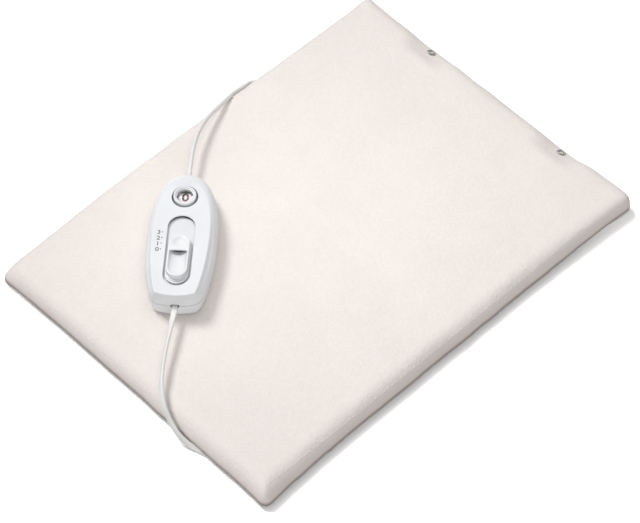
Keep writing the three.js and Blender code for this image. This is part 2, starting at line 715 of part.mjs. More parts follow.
function studPieces(name, y) {
  const group = new THREE.Group();
  group.position.set(studX(y), y, studTop);
  group.rotation.y = STUD_TILT;
  part.add(group);
  group.updateMatrixWorld(true);
  const half = SOCKET_DIAMETER / 2;
  const bore = STUD_HEAD / 2 + CLEARANCE;
  add(group, `${name}_cap_ring`, ringShape(CLEARANCE, 1), steel);
  add(group, `${name}_socket`, turnedRing([
    [bore, SOCKET_LOW], [half, SOCKET_LOW], [half, SOCKET_TOP], [bore, SOCKET_TOP],
  ]), steel);
  add(group, `${name}_post`, turned([
    [0, STUD_LOW], [half, STUD_LOW], [half, STUD_TOP_FACE], [STUD_HEAD / 2, STUD_TOP_FACE],
    [STUD_HEAD / 2, STUD_TOP_FACE + STUD_HEAD_HEIGHT], [0, STUD_TOP_FACE + STUD_HEAD_HEIGHT],
  ], 16), steel);
  add(group, `${name}_back_ring`, ringShape(LOWER_RING_TOP - RING_THICKNESS, -1), steel);
  const room = SOCKET_DIAMETER + 2 * SOFT_CLEARANCE;
  return {
    above: post(room, STUD_LOW - FABRIC, SOCKET_TOP + CLEARANCE).applyMatrix4(group.matrixWorld),
    below: post(room, STUD_LOW - CLEARANCE, FABRIC).applyMatrix4(group.matrixWorld),
  };
}

const studRooms = ['press_stud_a', 'press_stud_b'].map((name, i) => studPieces(name, STUD_PLACES[i]));

// Cover panels; the top one ends in a flap that lifts about a fold line
const FLAP_X = PAD_LENGTH / 2 - FLAP_DEPTH;
const beyondFlap = (start) =>
  block([PAD_LENGTH, 2 * PAD_WIDTH, 4 * PAD_THICKNESS], [start + PAD_LENGTH / 2, 0, 0]);
const wholeTop = cut(
  coverTop(), leadBed, mainsBed, twistBed, bootRoom, ...studRooms.map(({ above }) => above));
add(part, 'cover_top', cut(wholeTop, beyondFlap(FLAP_X - CLEARANCE / 2)), fleece);
add(part, 'cover_flap', keep(wholeTop, beyondFlap(FLAP_X + CLEARANCE / 2)), fleece);

// The bottom panel humps up over the cord that the pad lies on
const humpPoints = mainsRoute.points.filter(({ x, y, z }) =>
  z < CORD_THICKNESS && Math.abs(x) < PAD_LENGTH / 2 - LIP_RIDGE && Math.abs(y) < PAD_WIDTH / 2 - UNDER_ROLL);
const humpRoute = new Route(humpPoints, humpPoints.map(() => new V3(...UP)));
const humpOver = (skin) => sweep(humpRoute, bedSection(
  CORD_THICKNESS + 2 * CORD_ROOM + 2 * skin, CORD_WIDTH + 2 * CORD_ROOM + 2 * skin));
const aboveFloor = slab(CLEARANCE, PAD_THICKNESS);
const wholeBottom = join(coverBottom(), keep(humpOver(FABRIC), aboveFloor));
add(part, 'cover_bottom',
  cut(wholeBottom, mainsBed, twistBed, bootRoom, ...studRooms.map(({ below }) => below)), fleece);

// Heating layer
const WIRE_PITCH = (PAD_WIDTH - WIRE_TOP_INSET - WIRE_LOW_INSET) / (WIRE_ROWS - 1);
const WIRE_TOP_ROW = PAD_WIDTH / 2 - WIRE_TOP_INSET;
const THERMOSTAT_LOW = CARRIER_TOP + CLEARANCE;
const thermostatPlaces = THERMOSTAT_ROWS.map((row, i) =>
  [THERMOSTAT_ALONG[i], WIRE_TOP_ROW - row * WIRE_PITCH]);
const thermostatRooms = thermostatPlaces.map((place) =>
  blockOn(THERMOSTAT_SIZE.map((size) => size + 2 * SOFT_CLEARANCE), place, THERMOSTAT_LOW - SOFT_CLEARANCE));
const whole = innerLayer();
add(part, 'lower_wadding', cut(
  keep(whole, slab(0, LOWER_TOP)),
  humpOver(FABRIC + SOFT_CLEARANCE), mainsBed, bootRoom, spliceRoom,
), wadding);
add(part, 'upper_wadding', cut(
  keep(whole, slab(UPPER_LOW, PAD_THICKNESS)), bootRoom, spliceRoom, ...thermostatRooms), wadding);
const carrierOutline = padOutline(CARRIER_INSET, INNER_OUTLINE).map(({ x, y }) => new V2(x, y));
const carrierSheet = prism(new THREE.Shape(carrierOutline), CARRIER_LOW, CARRIER_TOP);
add(part, 'wire_carrier', cut(carrierSheet, bootRoom, spliceRoom), carrierCloth);
thermostatPlaces.forEach((place, i) =>
  add(part, `thermostat_${i + 1}`, blockOn(THERMOSTAT_SIZE, place, THERMOSTAT_LOW), casePlastic));

// One unbroken heating wire: out of the splice, down in rows, back up the side and home again
const WIRE_RETURN_ROW = PAD_WIDTH / 2 - WIRE_RETURN_INSET;
const WIRE_ROW_END = PAD_LENGTH / 2 - WIRE_END_INSET;
const WIRE_SIDE_RUN = WIRE_SIDE_INSET - PAD_LENGTH / 2;

function arcPoints(centre, radius, from, to) {
  const count = Math.max(2, Math.round(Math.abs(to - from) / (Math.PI / 5)));
  return Array.from({ length: count + 1 }, (_, i) => {
    const angle = lerp(from, to, i / count);
    return new V3(centre.x + radius * Math.cos(angle), centre.y + radius * Math.sin(angle), WIRE_HEIGHT);
  });
}

function heatingWire() {
  const turn = WIRE_PITCH / 2;
  const start = entry.localToWorld(new V3(SPLICE_START + SPLICE_SIZE[0] + CLEARANCE, 0, 0)).setZ(WIRE_HEIGHT);
  const side = leftOf(entryDirection);
  const out = start.clone().addScaledVector(side, SPLICE_WIRE_SPREAD / 2);
  const home = start.clone().addScaledVector(side, -SPLICE_WIRE_SPREAD / 2);
  const points = [out, out.clone().addScaledVector(entryDirection, WIRE_DIAMETER)];
  const topRow = WIRE_TOP_ROW + WIRE_PITCH;
  points.push(...arcPoints(new V3(WIRE_ROW_END, topRow - turn), turn, Math.PI / 2, -Math.PI / 2));
  for (let row = 1; row < WIRE_ROWS; row++) {
    const middle = WIRE_TOP_ROW - (row - 0.5) * WIRE_PITCH;
    const toLeft = row % 2 === 1;
    const x = toLeft ? WIRE_SIDE_RUN + 2 * turn : WIRE_ROW_END;
    points.push(...arcPoints(new V3(x, middle), turn, Math.PI / 2, toLeft ? 1.5 * Math.PI : -Math.PI / 2));
  }
  const lastRow = WIRE_TOP_ROW - (WIRE_ROWS - 1) * WIRE_PITCH;
  const corner = turn / 2;
  points.push(...arcPoints(
    new V3(WIRE_SIDE_RUN + corner, lastRow + corner), corner, 1.5 * Math.PI, Math.PI));
  points.push(...arcPoints(
    new V3(WIRE_SIDE_RUN + corner, WIRE_RETURN_ROW - corner), corner, Math.PI, Math.PI / 2));
  const homeTurn = home.clone().addScaledVector(side, -corner);
  const back = arcPoints(homeTurn, corner, -Math.PI / 2, ENTRY_TURN + Math.PI / 2);
  points.push(new V3(back[0].x - WIRE_PITCH, WIRE_RETURN_ROW, WIRE_HEIGHT), ...back);
  points.push(home);
  const spaced = points.filter((p, i) => i === 0 || p.distanceTo(points[i - 1]) > CLEARANCE);
  return sweep(new Route(spaced, spaced.map(() => new V3(...UP))), roundSection(WIRE_DIAMETER, 6));
}

add(part, 'heating_wire', heatingWire(), wireInsulation);
add(entry, 'lead_boot', bootShape(0, [CLEARANCE, CLEARANCE + BOOT_LENGTH]), cordPlastic);
add(entry, 'lead_splice', spliceShape(0), innerPlastic);

// Controller outline: a blunt far half and a near half that meet at the widest point, cut at the near end
function caseOutline(inset, farInset, endInset) {
  const half = CASE_HALF_WIDTH - inset;
  const far = CASE_LENGTH - CASE_WIDEST - farInset;
  const near = CASE_NEAR_REACH;
  const corner = Math.max(CASE_CORNER - inset, 1.5);
  const nearAngle = Math.acos((CASE_WIDEST - endInset - corner) / near);
  const edge = half * Math.sqrt(1 - ((CASE_WIDEST - endInset) / near) ** 2);
  const bow = (v) => endInset - CASE_END_BOW * (1 - (v / edge) ** 2);
  const side = [];
  const FAR_STEPS = 8;
  for (let i = 0; i < FAR_STEPS; i++) {
    const angle = (i / FAR_STEPS) * Math.PI / 2;
    const blunt = 2 / CASE_FAR_POWER;
    side.push([CASE_WIDEST + far * Math.cos(angle) ** blunt, half * Math.sin(angle) ** blunt]);
  }
  const NEAR_STEPS = 4;
  for (let i = 0; i <= NEAR_STEPS; i++) {
    const angle = lerp(Math.PI / 2, nearAngle, i / NEAR_STEPS);
    side.push([CASE_WIDEST - near * Math.cos(angle), half * Math.sin(angle)]);
  }
  const last = new V2(...side.at(-1));
  const flat = new V2(bow(edge - corner), edge - corner);
  const fillet = new THREE.QuadraticBezierCurve(last, new V2(bow(edge), edge), flat);
  fillet.getPoints(4).slice(1).forEach(({ x, y }) => side.push([x, y]));
  side.push([bow((edge - corner) / 2), (edge - corner) / 2]);
  const mirrored = side.slice(1).reverse().map(([u, v]) => [u, -v]);
  return [...side, [bow(0), 0], ...mirrored];
}

// A ring of the case at one height, or at a near and a far height with a smooth change between them
const caseRing = ([nearHeight, farHeight = nearHeight], inset, farInset, endInset) =>
  caseOutline(inset, farInset, endInset).map(([u, v]) =>
    new V3(u, v, lerp(nearHeight, farHeight, smoothstep(u, ...LEDGE_FADE))));

// Places along the controller
const WINDOW_PLACE = CASE_LENGTH - WINDOW_INSET;
const BOARD_LENGTH = CASE_LENGTH - BOARD_START - BOARD_END_INSET;
const SCREW_PLACES = [SCREW_NEAR, [CASE_LENGTH - SCREW_FAR[0], SCREW_FAR[1]]]
  .flatMap(([along, across]) => [[along, across], [along, -across]]);

// Levels inside the controller, from its base
const TOP_LOW = CASE_PARTING + CLEARANCE / 2;
const BOTTOM_HIGH = CASE_PARTING - CLEARANCE / 2;
const DECK_UNDER = CASE_HEIGHT - CASE_WALL;
const RECESS_LEVEL = CASE_HEIGHT - RECESS_DEPTH;
const TRAY_UNDER = RECESS_LEVEL - RECESS_FLOOR;
const RECESS_LENGTH = NEAR_PLAY + FLANGE_LENGTH + TRAVEL + END_PLAY;
const KNOB_START = RECESS_START + NEAR_PLAY;
const STEM_START = KNOB_START + (FLANGE_LENGTH - STEM_LENGTH) / 2;
const CARRIAGE_HIGH = TRAY_UNDER - CLEARANCE;
const CARRIAGE_LOW = CARRIAGE_HIGH - CARRIAGE_THICKNESS;
const CARRIAGE_START = STEM_START + (STEM_LENGTH - CARRIAGE_LENGTH) / 2;
const BOARD_LOW = CASE_FLOOR + BOARD_POST_HEIGHT + CLEARANCE;
const BOARD_TOP = BOARD_LOW + BOARD_THICKNESS;
const PART_LOW = BOARD_TOP + CLEARANCE;
const CLAMP_LOW = CASE_PARTING - CLAMP_SIZE[2] / 2;

const cordHole = (width, height) => join(
  block([4 * CASE_WALL, width, height], [0, 0, CASE_PARTING]),
  block([4 * CASE_WALL, height, width], [CASE_LENGTH, 0, CASE_PARTING]),
);
const cordHoles = cordHole(CORD_WIDTH + 2 * CLEARANCE, CORD_THICKNESS + 2 * CLEARANCE);
const MOAT_DIAMETER = BEZEL_DIAMETER + 2 * BEZEL_MOAT;
const MOAT_LEVEL = CASE_HEIGHT - BEZEL_SEAT_DEPTH;
const BOSS_UNDER = MOAT_LEVEL - WINDOW_BOSS_WALL;
const SCREW_TIP = CLEARANCE + SCREW_LENGTH;
const screwHole = SCREW_DIAMETER + 2 * CLEARANCE;

function topHousing() {
  const below = (drops, level) => drops.map((drop) => level - drop);
  const within = (insets, extra) => insets.map((inset) => inset + extra);
  const shell = loft([
    caseRing([CASE_HEIGHT], ...within(DECK_INSETS, DECK_BEVEL)),
    caseRing([CASE_HEIGHT - DECK_BEVEL], ...DECK_INSETS),
    caseRing(below(LEDGE_DROPS, CASE_HEIGHT), ...LEDGE_INSETS),
    caseRing(below(LEDGE_EDGE_DROPS, CASE_HEIGHT), ...LEDGE_EDGE_INSETS),
    caseRing(WALL_RISES.map((rise) => CASE_PARTING + rise), ...WALL_INSETS),
    caseRing([TOP_LOW], 0, 0, 0),
    caseRing([TOP_LOW], CASE_WALL, CASE_WALL, CASE_WALL),
    caseRing(WALL_RISES.map((rise) => CASE_PARTING + rise), ...within(WALL_INSETS, CASE_WALL)),
    caseRing(below(LEDGE_EDGE_DROPS, DECK_UNDER + DECK_ROOM), ...within(LEDGE_EDGE_INSETS, CASE_WALL)),
    caseRing([DECK_UNDER], ...within(DECK_INSETS, CASE_WALL)),
  ]);
  const trayLength = RECESS_LENGTH + 2 * RECESS_WALL;
  const trayWidth = RECESS_WIDTH + 2 * RECESS_WALL;
  const rooted = DECK_UNDER + CLEARANCE;
  const tray = prism(pill(trayLength, trayWidth, RECESS_START - RECESS_WALL), TRAY_UNDER, rooted);
  const boss = post(MOAT_DIAMETER + 2 * WINDOW_BOSS_WALL, BOSS_UNDER, rooted, [WINDOW_PLACE, 0], 32);
  const pillars = SCREW_PLACES.map((place) => post(SCREW_BOSS, TOP_LOW, rooted, place));
  const slit = pill(STEM_LENGTH + TRAVEL + 2 * CLEARANCE, STEM_WIDTH + 2 * CLEARANCE, STEM_START - CLEARANCE);
  return cut(
    join(shell, tray, boss, ...pillars),
    prism(pill(RECESS_LENGTH, RECESS_WIDTH, RECESS_START), RECESS_LEVEL, 2 * CASE_HEIGHT),
    prism(slit, 0, CASE_HEIGHT),
    post(MOAT_DIAMETER, MOAT_LEVEL, 2 * CASE_HEIGHT, [WINDOW_PLACE, 0], 40),
    post(BEZEL_SPIGOT + 2 * CLEARANCE, 0, CASE_HEIGHT, [WINDOW_PLACE, 0], 40),
    cordHoles,
    ...SCREW_PLACES.map((place) => post(screwHole, 0, SCREW_TIP + CLEARANCE, place)),
  );
}

const BOARD_POSTS = [BOARD_POST_INSET[0], BOARD_LENGTH - BOARD_POST_INSET[0]].flatMap((along) =>
  [1, -1].map((side) => [BOARD_START + along, side * (BOARD_WIDTH / 2 - BOARD_POST_INSET[1])]));
const clampPlaces = [CLAMP_INSET + CLAMP_SIZE[0] / 2, CASE_LENGTH - CLAMP_INSET - CLAMP_SIZE[0] / 2];

function bottomHousing() {
  const shell = loft([
    ...BASE_RINGS.map(([height, inset, end]) => caseRing([height], inset, inset, end)),
    caseRing([BOTTOM_HIGH], 0, 0, 0),
    caseRing([BOTTOM_HIGH], CASE_WALL, CASE_WALL, CASE_WALL),
    ...BASE_RINGS.slice(2).reverse().map(([height, inset, end]) =>
      caseRing([height], inset + CASE_WALL, inset + CASE_WALL, end + CASE_WALL)),
    caseRing([CASE_FLOOR], BASE_INSET, BASE_INSET, BASE_RINGS[1][2] + CASE_WALL),
  ]);
  const rooted = CASE_FLOOR - CLEARANCE;
  const pillars = SCREW_PLACES.map((place) => post(SCREW_BOSS, rooted, BOTTOM_HIGH, place));
  const boardPosts = BOARD_POSTS.map((place) =>
    post(2 * BOARD_POST_RADIUS, rooted, CASE_FLOOR + BOARD_POST_HEIGHT, place));
  const saddles = clampPlaces.map((along) =>
    blockOn([SADDLE_LENGTH, CLAMP_SIZE[1], CLAMP_LOW - CLEARANCE - rooted], [along, 0], rooted));
  return cut(
    join(shell, ...pillars, ...boardPosts, ...saddles),
    cordHoles,
    ...SCREW_PLACES.map((place) => post(screwHole, -1, CASE_HEIGHT, place)),
    ...SCREW_PLACES.map((place) =>
      post(SCREW_HEAD + 2 * CLEARANCE, -1, SCREW_HEAD_HEIGHT + 2 * CLEARANCE, place)),
  );
}

add(controller, 'top_housing', topHousing(), casePlastic);
add(controller, 'bottom_housing', bottomHousing(), casePlastic);

// Number window: bezel with a domed lens on its inner ledge, which reaches down to the number strip
const STRIP_LOW = CARRIAGE_LOW + ARM_THICKNESS + CLEARANCE;
const BEZEL_BASE = MOAT_LEVEL + CLEARANCE;
const BEZEL_TOP = CASE_HEIGHT + BEZEL_RISE;
const LEDGE_TOP = BOSS_UNDER + LENS_LEDGE;
const LENS_LOW = LEDGE_TOP + CLEARANCE;
const LENS_FOOT = STRIP_LOW + STRIP_THICKNESS + CLEARANCE;
const LENS_TOP = LENS_LOW + LENS_THICKNESS;
const lensSeat = LENS_DIAMETER / 2 + CLEARANCE;
const lensStem = lensSeat - LENS_LEDGE - CLEARANCE;
add(controller, 'window_bezel', turnedRing([
  [lensSeat - LENS_LEDGE, BOSS_UNDER], [BEZEL_SPIGOT / 2, BOSS_UNDER], [BEZEL_SPIGOT / 2, BEZEL_BASE],
  [BEZEL_DIAMETER / 2, BEZEL_BASE], [BEZEL_DIAMETER / 2, BEZEL_TOP - BEZEL_BEVEL],
  [BEZEL_DIAMETER / 2 - BEZEL_BEVEL, BEZEL_TOP], [lensSeat + BEZEL_BEVEL, BEZEL_TOP],
  [lensSeat, BEZEL_TOP - BEZEL_BEVEL], [lensSeat, LEDGE_TOP], [lensSeat - LENS_LEDGE, LEDGE_TOP],
], 32).translate(WINDOW_PLACE, 0, 0), casePlastic);
add(controller, 'window_lens', turned([
  [0, LENS_FOOT], [lensStem, LENS_FOOT], [lensStem, LENS_LOW], [LENS_DIAMETER / 2, LENS_LOW],
  [LENS_DIAMETER / 2, LENS_TOP - LENS_DOME], [LENS_DIAMETER / 3, LENS_TOP - LENS_BEND], [0, LENS_TOP],
], 32).translate(WINDOW_PLACE, 0, 0), lensPlastic);

// Slider: knob above the recess floor, carriage and number strip below it
function sliderKnob() {
  const low = RECESS_LEVEL + CLEARANCE;
  const shoulder = low + FLANGE_THICKNESS;
  const top = shoulder + KNOB_HEIGHT;
  const length = FLANGE_LENGTH - 2 * KNOB_INSET;
  const width = FLANGE_WIDTH - 2 * KNOB_INSET;
  const start = KNOB_START + KNOB_INSET;
  const body = join(
    prism(pill(FLANGE_LENGTH, FLANGE_WIDTH, KNOB_START), low, shoulder),
    prism(pill(length, width, start), low, top),
    prism(pill(STEM_LENGTH, STEM_WIDTH, STEM_START), CARRIAGE_LOW + CLEARANCE, shoulder),
  );
  const ridge = KNOB_START + KNOB_RIDGE;
  const troughRadius = width / 2 - KNOB_SCOOP_RIM;
  const slope = Math.atan(KNOB_SCOOP_DEPTH / (ridge - start));
  const trough = new THREE.CylinderGeometry(troughRadius, troughRadius, ridge, 24, 1)
    .rotateZ(Math.PI / 2)
    .scale(1, 1, KNOB_SCOOP_DEPTH / troughRadius)
    .translate(-ridge / 2, 0, 0)
    .rotateY(slope)
    .translate(ridge, 0, top);
  const dish = new THREE.CylinderGeometry(KNOB_DISH_RADIUS, KNOB_DISH_RADIUS, 2 * width, 40)
    .translate(ridge + KNOB_DISH_PLACE[0], 0, top + KNOB_DISH_PLACE[1]);
  return cut(body, trough, dish);
}

function sliderCarriage() {
  const plate = block(
    [CARRIAGE_LENGTH, CARRIAGE_WIDTH, CARRIAGE_THICKNESS],
    [CARRIAGE_START + CARRIAGE_LENGTH / 2, 0, (CARRIAGE_LOW + CARRIAGE_HIGH) / 2],
  );
  const armEnd = WINDOW_PLACE + STRIP_MARGIN + ARM_OVERLAP;
  const armStart = CARRIAGE_START + CARRIAGE_LENGTH - ARM_OVERLAP;
  const armSize = [armEnd - armStart, ARM_WIDTH, ARM_THICKNESS];
  const arm = blockOn(armSize, [(armStart + armEnd) / 2, 0], CARRIAGE_LOW);
  const pocket = prism(
    pill(STEM_LENGTH + 2 * CLEARANCE, STEM_WIDTH + 2 * CLEARANCE, STEM_START - CLEARANCE), 0, CASE_HEIGHT);
  const pitch = TRAVEL / STEP_COUNT;
  const notches = Array.from({ length: STEP_COUNT + 1 }, (_, k) =>
    block([NOTCH_DEPTH * 2, NOTCH_DEPTH * 2, CASE_HEIGHT], [0, 0, CASE_HEIGHT / 2])
      .rotateZ(Math.PI / 4)
      .translate(DETENT_PLACE - k * pitch, CARRIAGE_WIDTH / 2, 0));
  return cut(join(plate, arm), pocket, ...notches);
}

const DETENT_PLACE = CARRIAGE_START + CARRIAGE_LENGTH - DETENT_INSET;
const stripLength = TRAVEL + 2 * STRIP_MARGIN;
add(controller, 'slider_knob', sliderKnob(), knobPlastic);
add(controller, 'slider_carriage', sliderCarriage(), innerPlastic);
add(controller, 'number_strip', blockOn(
  [stripLength, STRIP_WIDTH, STRIP_THICKNESS], [WINDOW_PLACE - TRAVEL / 2, 0], STRIP_LOW), numberPlastic);

// Detent spring beside the carriage, under the recess tray
function detentSpring() {
  const inner = CARRIAGE_WIDTH / 2 + CLEARANCE;
  const nose = NOTCH_DEPTH;
  const shape = new THREE.Shape([
    [-SPRING_LENGTH / 2, inner + nose], [-nose, inner + nose], [0, inner], [nose, inner + nose],
    [SPRING_LENGTH / 2, inner + nose], [SPRING_LENGTH / 2, inner + nose + SPRING_THICKNESS],
    [-SPRING_LENGTH / 2, inner + nose + SPRING_THICKNESS],
  ].map(([u, v]) => new V2(u, v)));
  return prism(shape, CARRIAGE_LOW, CARRIAGE_HIGH).translate(DETENT_PLACE, 0, 0);
}
add(controller, 'detent_spring', detentSpring(), steel);

// Circuit board and what stands on it
const boardSize = [BOARD_LENGTH, BOARD_WIDTH, BOARD_THICKNESS];
const boardPlace = [BOARD_START + BOARD_LENGTH / 2, 0];
add(controller, 'circuit_board', blockOn(boardSize, boardPlace, BOARD_LOW), board);
const wiperPlace = CARRIAGE_START + CARRIAGE_LENGTH - WIPER_INSET - WIPER_LENGTH / 2;
const railPlace = wiperPlace + TRAVEL / 2;
const RAIL_TOP = PART_LOW + RAIL_SIZE[2];
[1, -1].forEach((side, i) =>
  add(controller, `contact_rail_${i + 1}`,
    blockOn(RAIL_SIZE, [railPlace, side * WIPER_SPREAD / 2], PART_LOW), brass));

function wiperContact() {
  const high = CARRIAGE_LOW - CLEARANCE;
  const low = RAIL_TOP + CLEARANCE;
  const half = (WIPER_SPREAD + WIPER_THICKNESS) / 2;
  const outer = blockOn([WIPER_LENGTH, 2 * half, high - low], [wiperPlace, 0], low);
  const gap = blockOn(
    [2 * WIPER_LENGTH, 2 * (half - WIPER_THICKNESS), high - low], [wiperPlace, 0], low - WIPER_THICKNESS);
  return cut(outer, gap);
}
add(controller, 'wiper_contact', wiperContact(), brass);

add(controller, 'indicator_led', turned([
  [0, PART_LOW], [LED_DIAMETER / 2, PART_LOW], [LED_DIAMETER / 2, PART_LOW + LED_HEIGHT - LED_DIAMETER / 2],
  [LED_DIAMETER / 3, PART_LOW + LED_HEIGHT - LED_DIAMETER / 8], [0, PART_LOW + LED_HEIGHT],
], 16).translate(WINDOW_PLACE, 0, 0), ledPlastic);
for (const [name, { place, size }] of Object.entries(BOARD_PARTS)) {
  add(controller, name, blockOn(size, place, PART_LOW), darkPart);
}
for (const [name, { place, diameter, length }] of Object.entries(ROUND_BOARD_PARTS)) {
  const rod = post(diameter, -length / 2, length / 2).rotateY(Math.PI / 2);
  add(controller, name, rod.translate(...place, PART_LOW + diameter / 2), innerPlastic);
}
clampPlaces.forEach((along, i) =>
  add(controller, `cord_clamp_${i + 1}`, blockOn(CLAMP_SIZE, [along, 0], CLAMP_LOW), innerPlastic));
SCREW_PLACES.forEach((place, i) => {
  const head = SCREW_HEAD_HEIGHT + CLEARANCE;
  add(controller, `housing_screw_${i + 1}`, turned([
    [0, CLEARANCE], [SCREW_HEAD / 2, CLEARANCE], [SCREW_HEAD / 2, head], [SCREW_DIAMETER / 2, head],
    [SCREW_DIAMETER / 2, SCREW_TIP], [0, SCREW_TIP],
  ], 10).translate(...place, 0), steel);
});

// Cords: the short lead to the pad, and the mains cord down to its coil
const cordShape = flatSection(CORD_THICKNESS, CORD_WIDTH);
add(part, 'pad_lead', sweep(leadRoute, cordShape), cordPlastic);
add(part, 'mains_lead', sweep(mainsRoute, cordShape), cordPlastic);

// The coil spirals in on the lower layer, climbs where it reverses, and spirals out above
const COIL_TURNS = COIL_WHOLE_TURNS + (COIL_END - COIL_START) / (2 * Math.PI);
const COIL_LOW = COIL_LIFT + CORD_WIDTH / 2;
const COIL_HIGH = COIL_LOW + CORD_WIDTH + COIL_LAYER_GAP;
const coilCentre = new V3(...COIL_CENTRE, 0);
const coilAngle = (turn) => COIL_START + turn * 2 * Math.PI;
const outward = (angle) => new V3(Math.cos(angle), Math.sin(angle), 0);

function coilPoint(turn) {
  const middle = COIL_TURNS / 2;
  const radius = COIL_RADIUS - COIL_PITCH * (middle - Math.abs(turn - middle));
  const climb = smoothstep(turn, middle - COIL_CLIMB, middle + COIL_CLIMB);
  return coilCentre.clone().addScaledVector(outward(coilAngle(turn)), radius)
    .setZ(lerp(COIL_LOW, COIL_HIGH, climb));
}

function coilRoute() {
  const mainsEnd = mainsRoute.points.at(-1);
  const heading = mainsEnd.clone().sub(mainsRoute.points.at(-2)).normalize();
  const first = mainsEnd.clone().addScaledVector(heading, CLEARANCE);
  const straight = first.clone().addScaledVector(heading, CORD_WIDTH);
  const joined = coilPoint(0);
  const approach = new THREE.CubicBezierCurve3(
    straight, straight.clone().addScaledVector(heading, COIL_LEAD_IN),
    joined.clone().addScaledVector(leftOf(outward(COIL_START)), -COIL_LEAD_IN), joined);
  const points = [first];
  const ups = [new V3(...UP)];
  const APPROACH_STEPS = 10;
  for (let i = 0; i < APPROACH_STEPS; i++) {
    const share = i / APPROACH_STEPS;
    points.push(approach.getPoint(share));
    ups.push(new V3(...UP).lerp(outward(COIL_START), smoothstep(share, 0, 1)));
  }
  const steps = Math.round(COIL_TURNS * COIL_STEPS_PER_TURN);
  for (let i = 0; i <= steps; i++) {
    const turn = (i / steps) * COIL_TURNS;
    points.push(coilPoint(turn));
    ups.push(outward(coilAngle(turn)));
  }
  const leaving = leftOf(outward(COIL_END));
  const left = points.at(-1);
  const plugSide = left.clone().addScaledVector(leaving, COIL_TAIL).setZ(PLUG_AXIS_HEIGHT);
  const tail = new THREE.CubicBezierCurve3(
    left, left.clone().addScaledVector(leaving, COIL_TAIL / 3),
    plugSide.clone().addScaledVector(leaving, -COIL_TAIL / 3), plugSide);
  const TAIL_STEPS = 5;
  for (let i = 1; i <= TAIL_STEPS; i++) {
    const share = i / TAIL_STEPS;
    points.push(tail.getPoint(share));
    ups.push(outward(COIL_END).lerp(new V3(...UP), smoothstep(share, 0, 1)));
  }
  points.push(plugSide.clone().addScaledVector(leaving, CORD_WIDTH));
  ups.push(new V3(...UP));
  return new Route(points, ups);
}

// Least distance between points round the tube that lie more than a quarter turn apart along it
function leastGap(route, section) {
  const FINE = 4;
  const { normals, binormals } = route.computeFrenetFrames();
  const rim = section.flatMap((corner, k) => {
    const next = section[(k + 1) % section.length];
    return Array.from({ length: FINE }, (_, i) => corner.clone().lerp(next, i / FINE));
  });
  const rings = [];
  for (let i = 0; i + 1 < route.points.length; i++) {
    for (let k = 0; k < FINE; k++) {
      const share = k / FINE;
      const mix = (list) => list[i].clone().lerp(list[i + 1], share);
      const [centre, normal, binormal] = [mix(route.points), mix(normals), mix(binormals)];
      rings.push(rim.map(({ x, y }) =>
        centre.clone().addScaledVector(normal, x).addScaledVector(binormal, y)));
    }
  }
  const apart = (COIL_STEPS_PER_TURN / 4) * FINE;
  let least = Infinity;
  for (let i = 0; i < rings.length; i++) {
    for (let j = i + apart; j < rings.length; j++) {
      if (rings[i][0].distanceTo(rings[j][0]) > 3 * CORD_WIDTH) continue;
      for (const p of rings[i]) for (const q of rings[j]) least = Math.min(least, p.distanceToSquared(q));
    }
  }
  return Math.sqrt(least);
}

const coil = coilRoute();
const coilSection = loopSection(CORD_THICKNESS, CORD_WIDTH);
console.log(`mains coil: least gap to itself ${leastGap(coil, coilSection).toFixed(2)} mm`);
add(part, 'mains_coil', sweep(coil, coilSection), cordPlastic);

// Tie round the bundle of turns
function cordTie() {
  const first = (TIE_ANGLE - COIL_START) / (2 * Math.PI);
  const radii = Array.from({ length: COIL_WHOLE_TURNS + 1 }, (_, k) =>
    coilPoint(first + k).distanceTo(coilCentre.clone().setZ(coilPoint(first + k).z)));
  const room = CORD_THICKNESS / 2 + TIE_CLEARANCE;
  const low = COIL_LOW - CORD_WIDTH / 2 - TIE_CLEARANCE;
  const high = COIL_HIGH + CORD_WIDTH / 2 + TIE_CLEARANCE;
  const [inner, outer] = [Math.min(...radii) - room, Math.max(...radii) + room];
  const frame = (grow) => {
    const shape = new THREE.Shape();
    const corner = TIE_CLEARANCE + grow;
    const [x0, x1, y0, y1] = [inner - grow, outer + grow, low - grow, high + grow];
    shape.absarc(x1 - corner, y0 + corner, corner, -Math.PI / 2, 0);
    shape.absarc(x1 - corner, y1 - corner, corner, 0, Math.PI / 2);
    shape.absarc(x0 + corner, y1 - corner, corner, Math.PI / 2, Math.PI);
    shape.absarc(x0 + corner, y0 + corner, corner, Math.PI, 1.5 * Math.PI);
    return shape;
  };
  const band = cut(
    prism(frame(TIE_THICKNESS), -TIE_WIDTH / 2, TIE_WIDTH / 2, 3),
    prism(frame(0), -TIE_WIDTH, TIE_WIDTH, 3),
  );
  return band.rotateX(Math.PI / 2).rotateZ(TIE_ANGLE).translate(...COIL_CENTRE, 0);
}
add(part, 'cord_tie', cordTie(), darkPart);

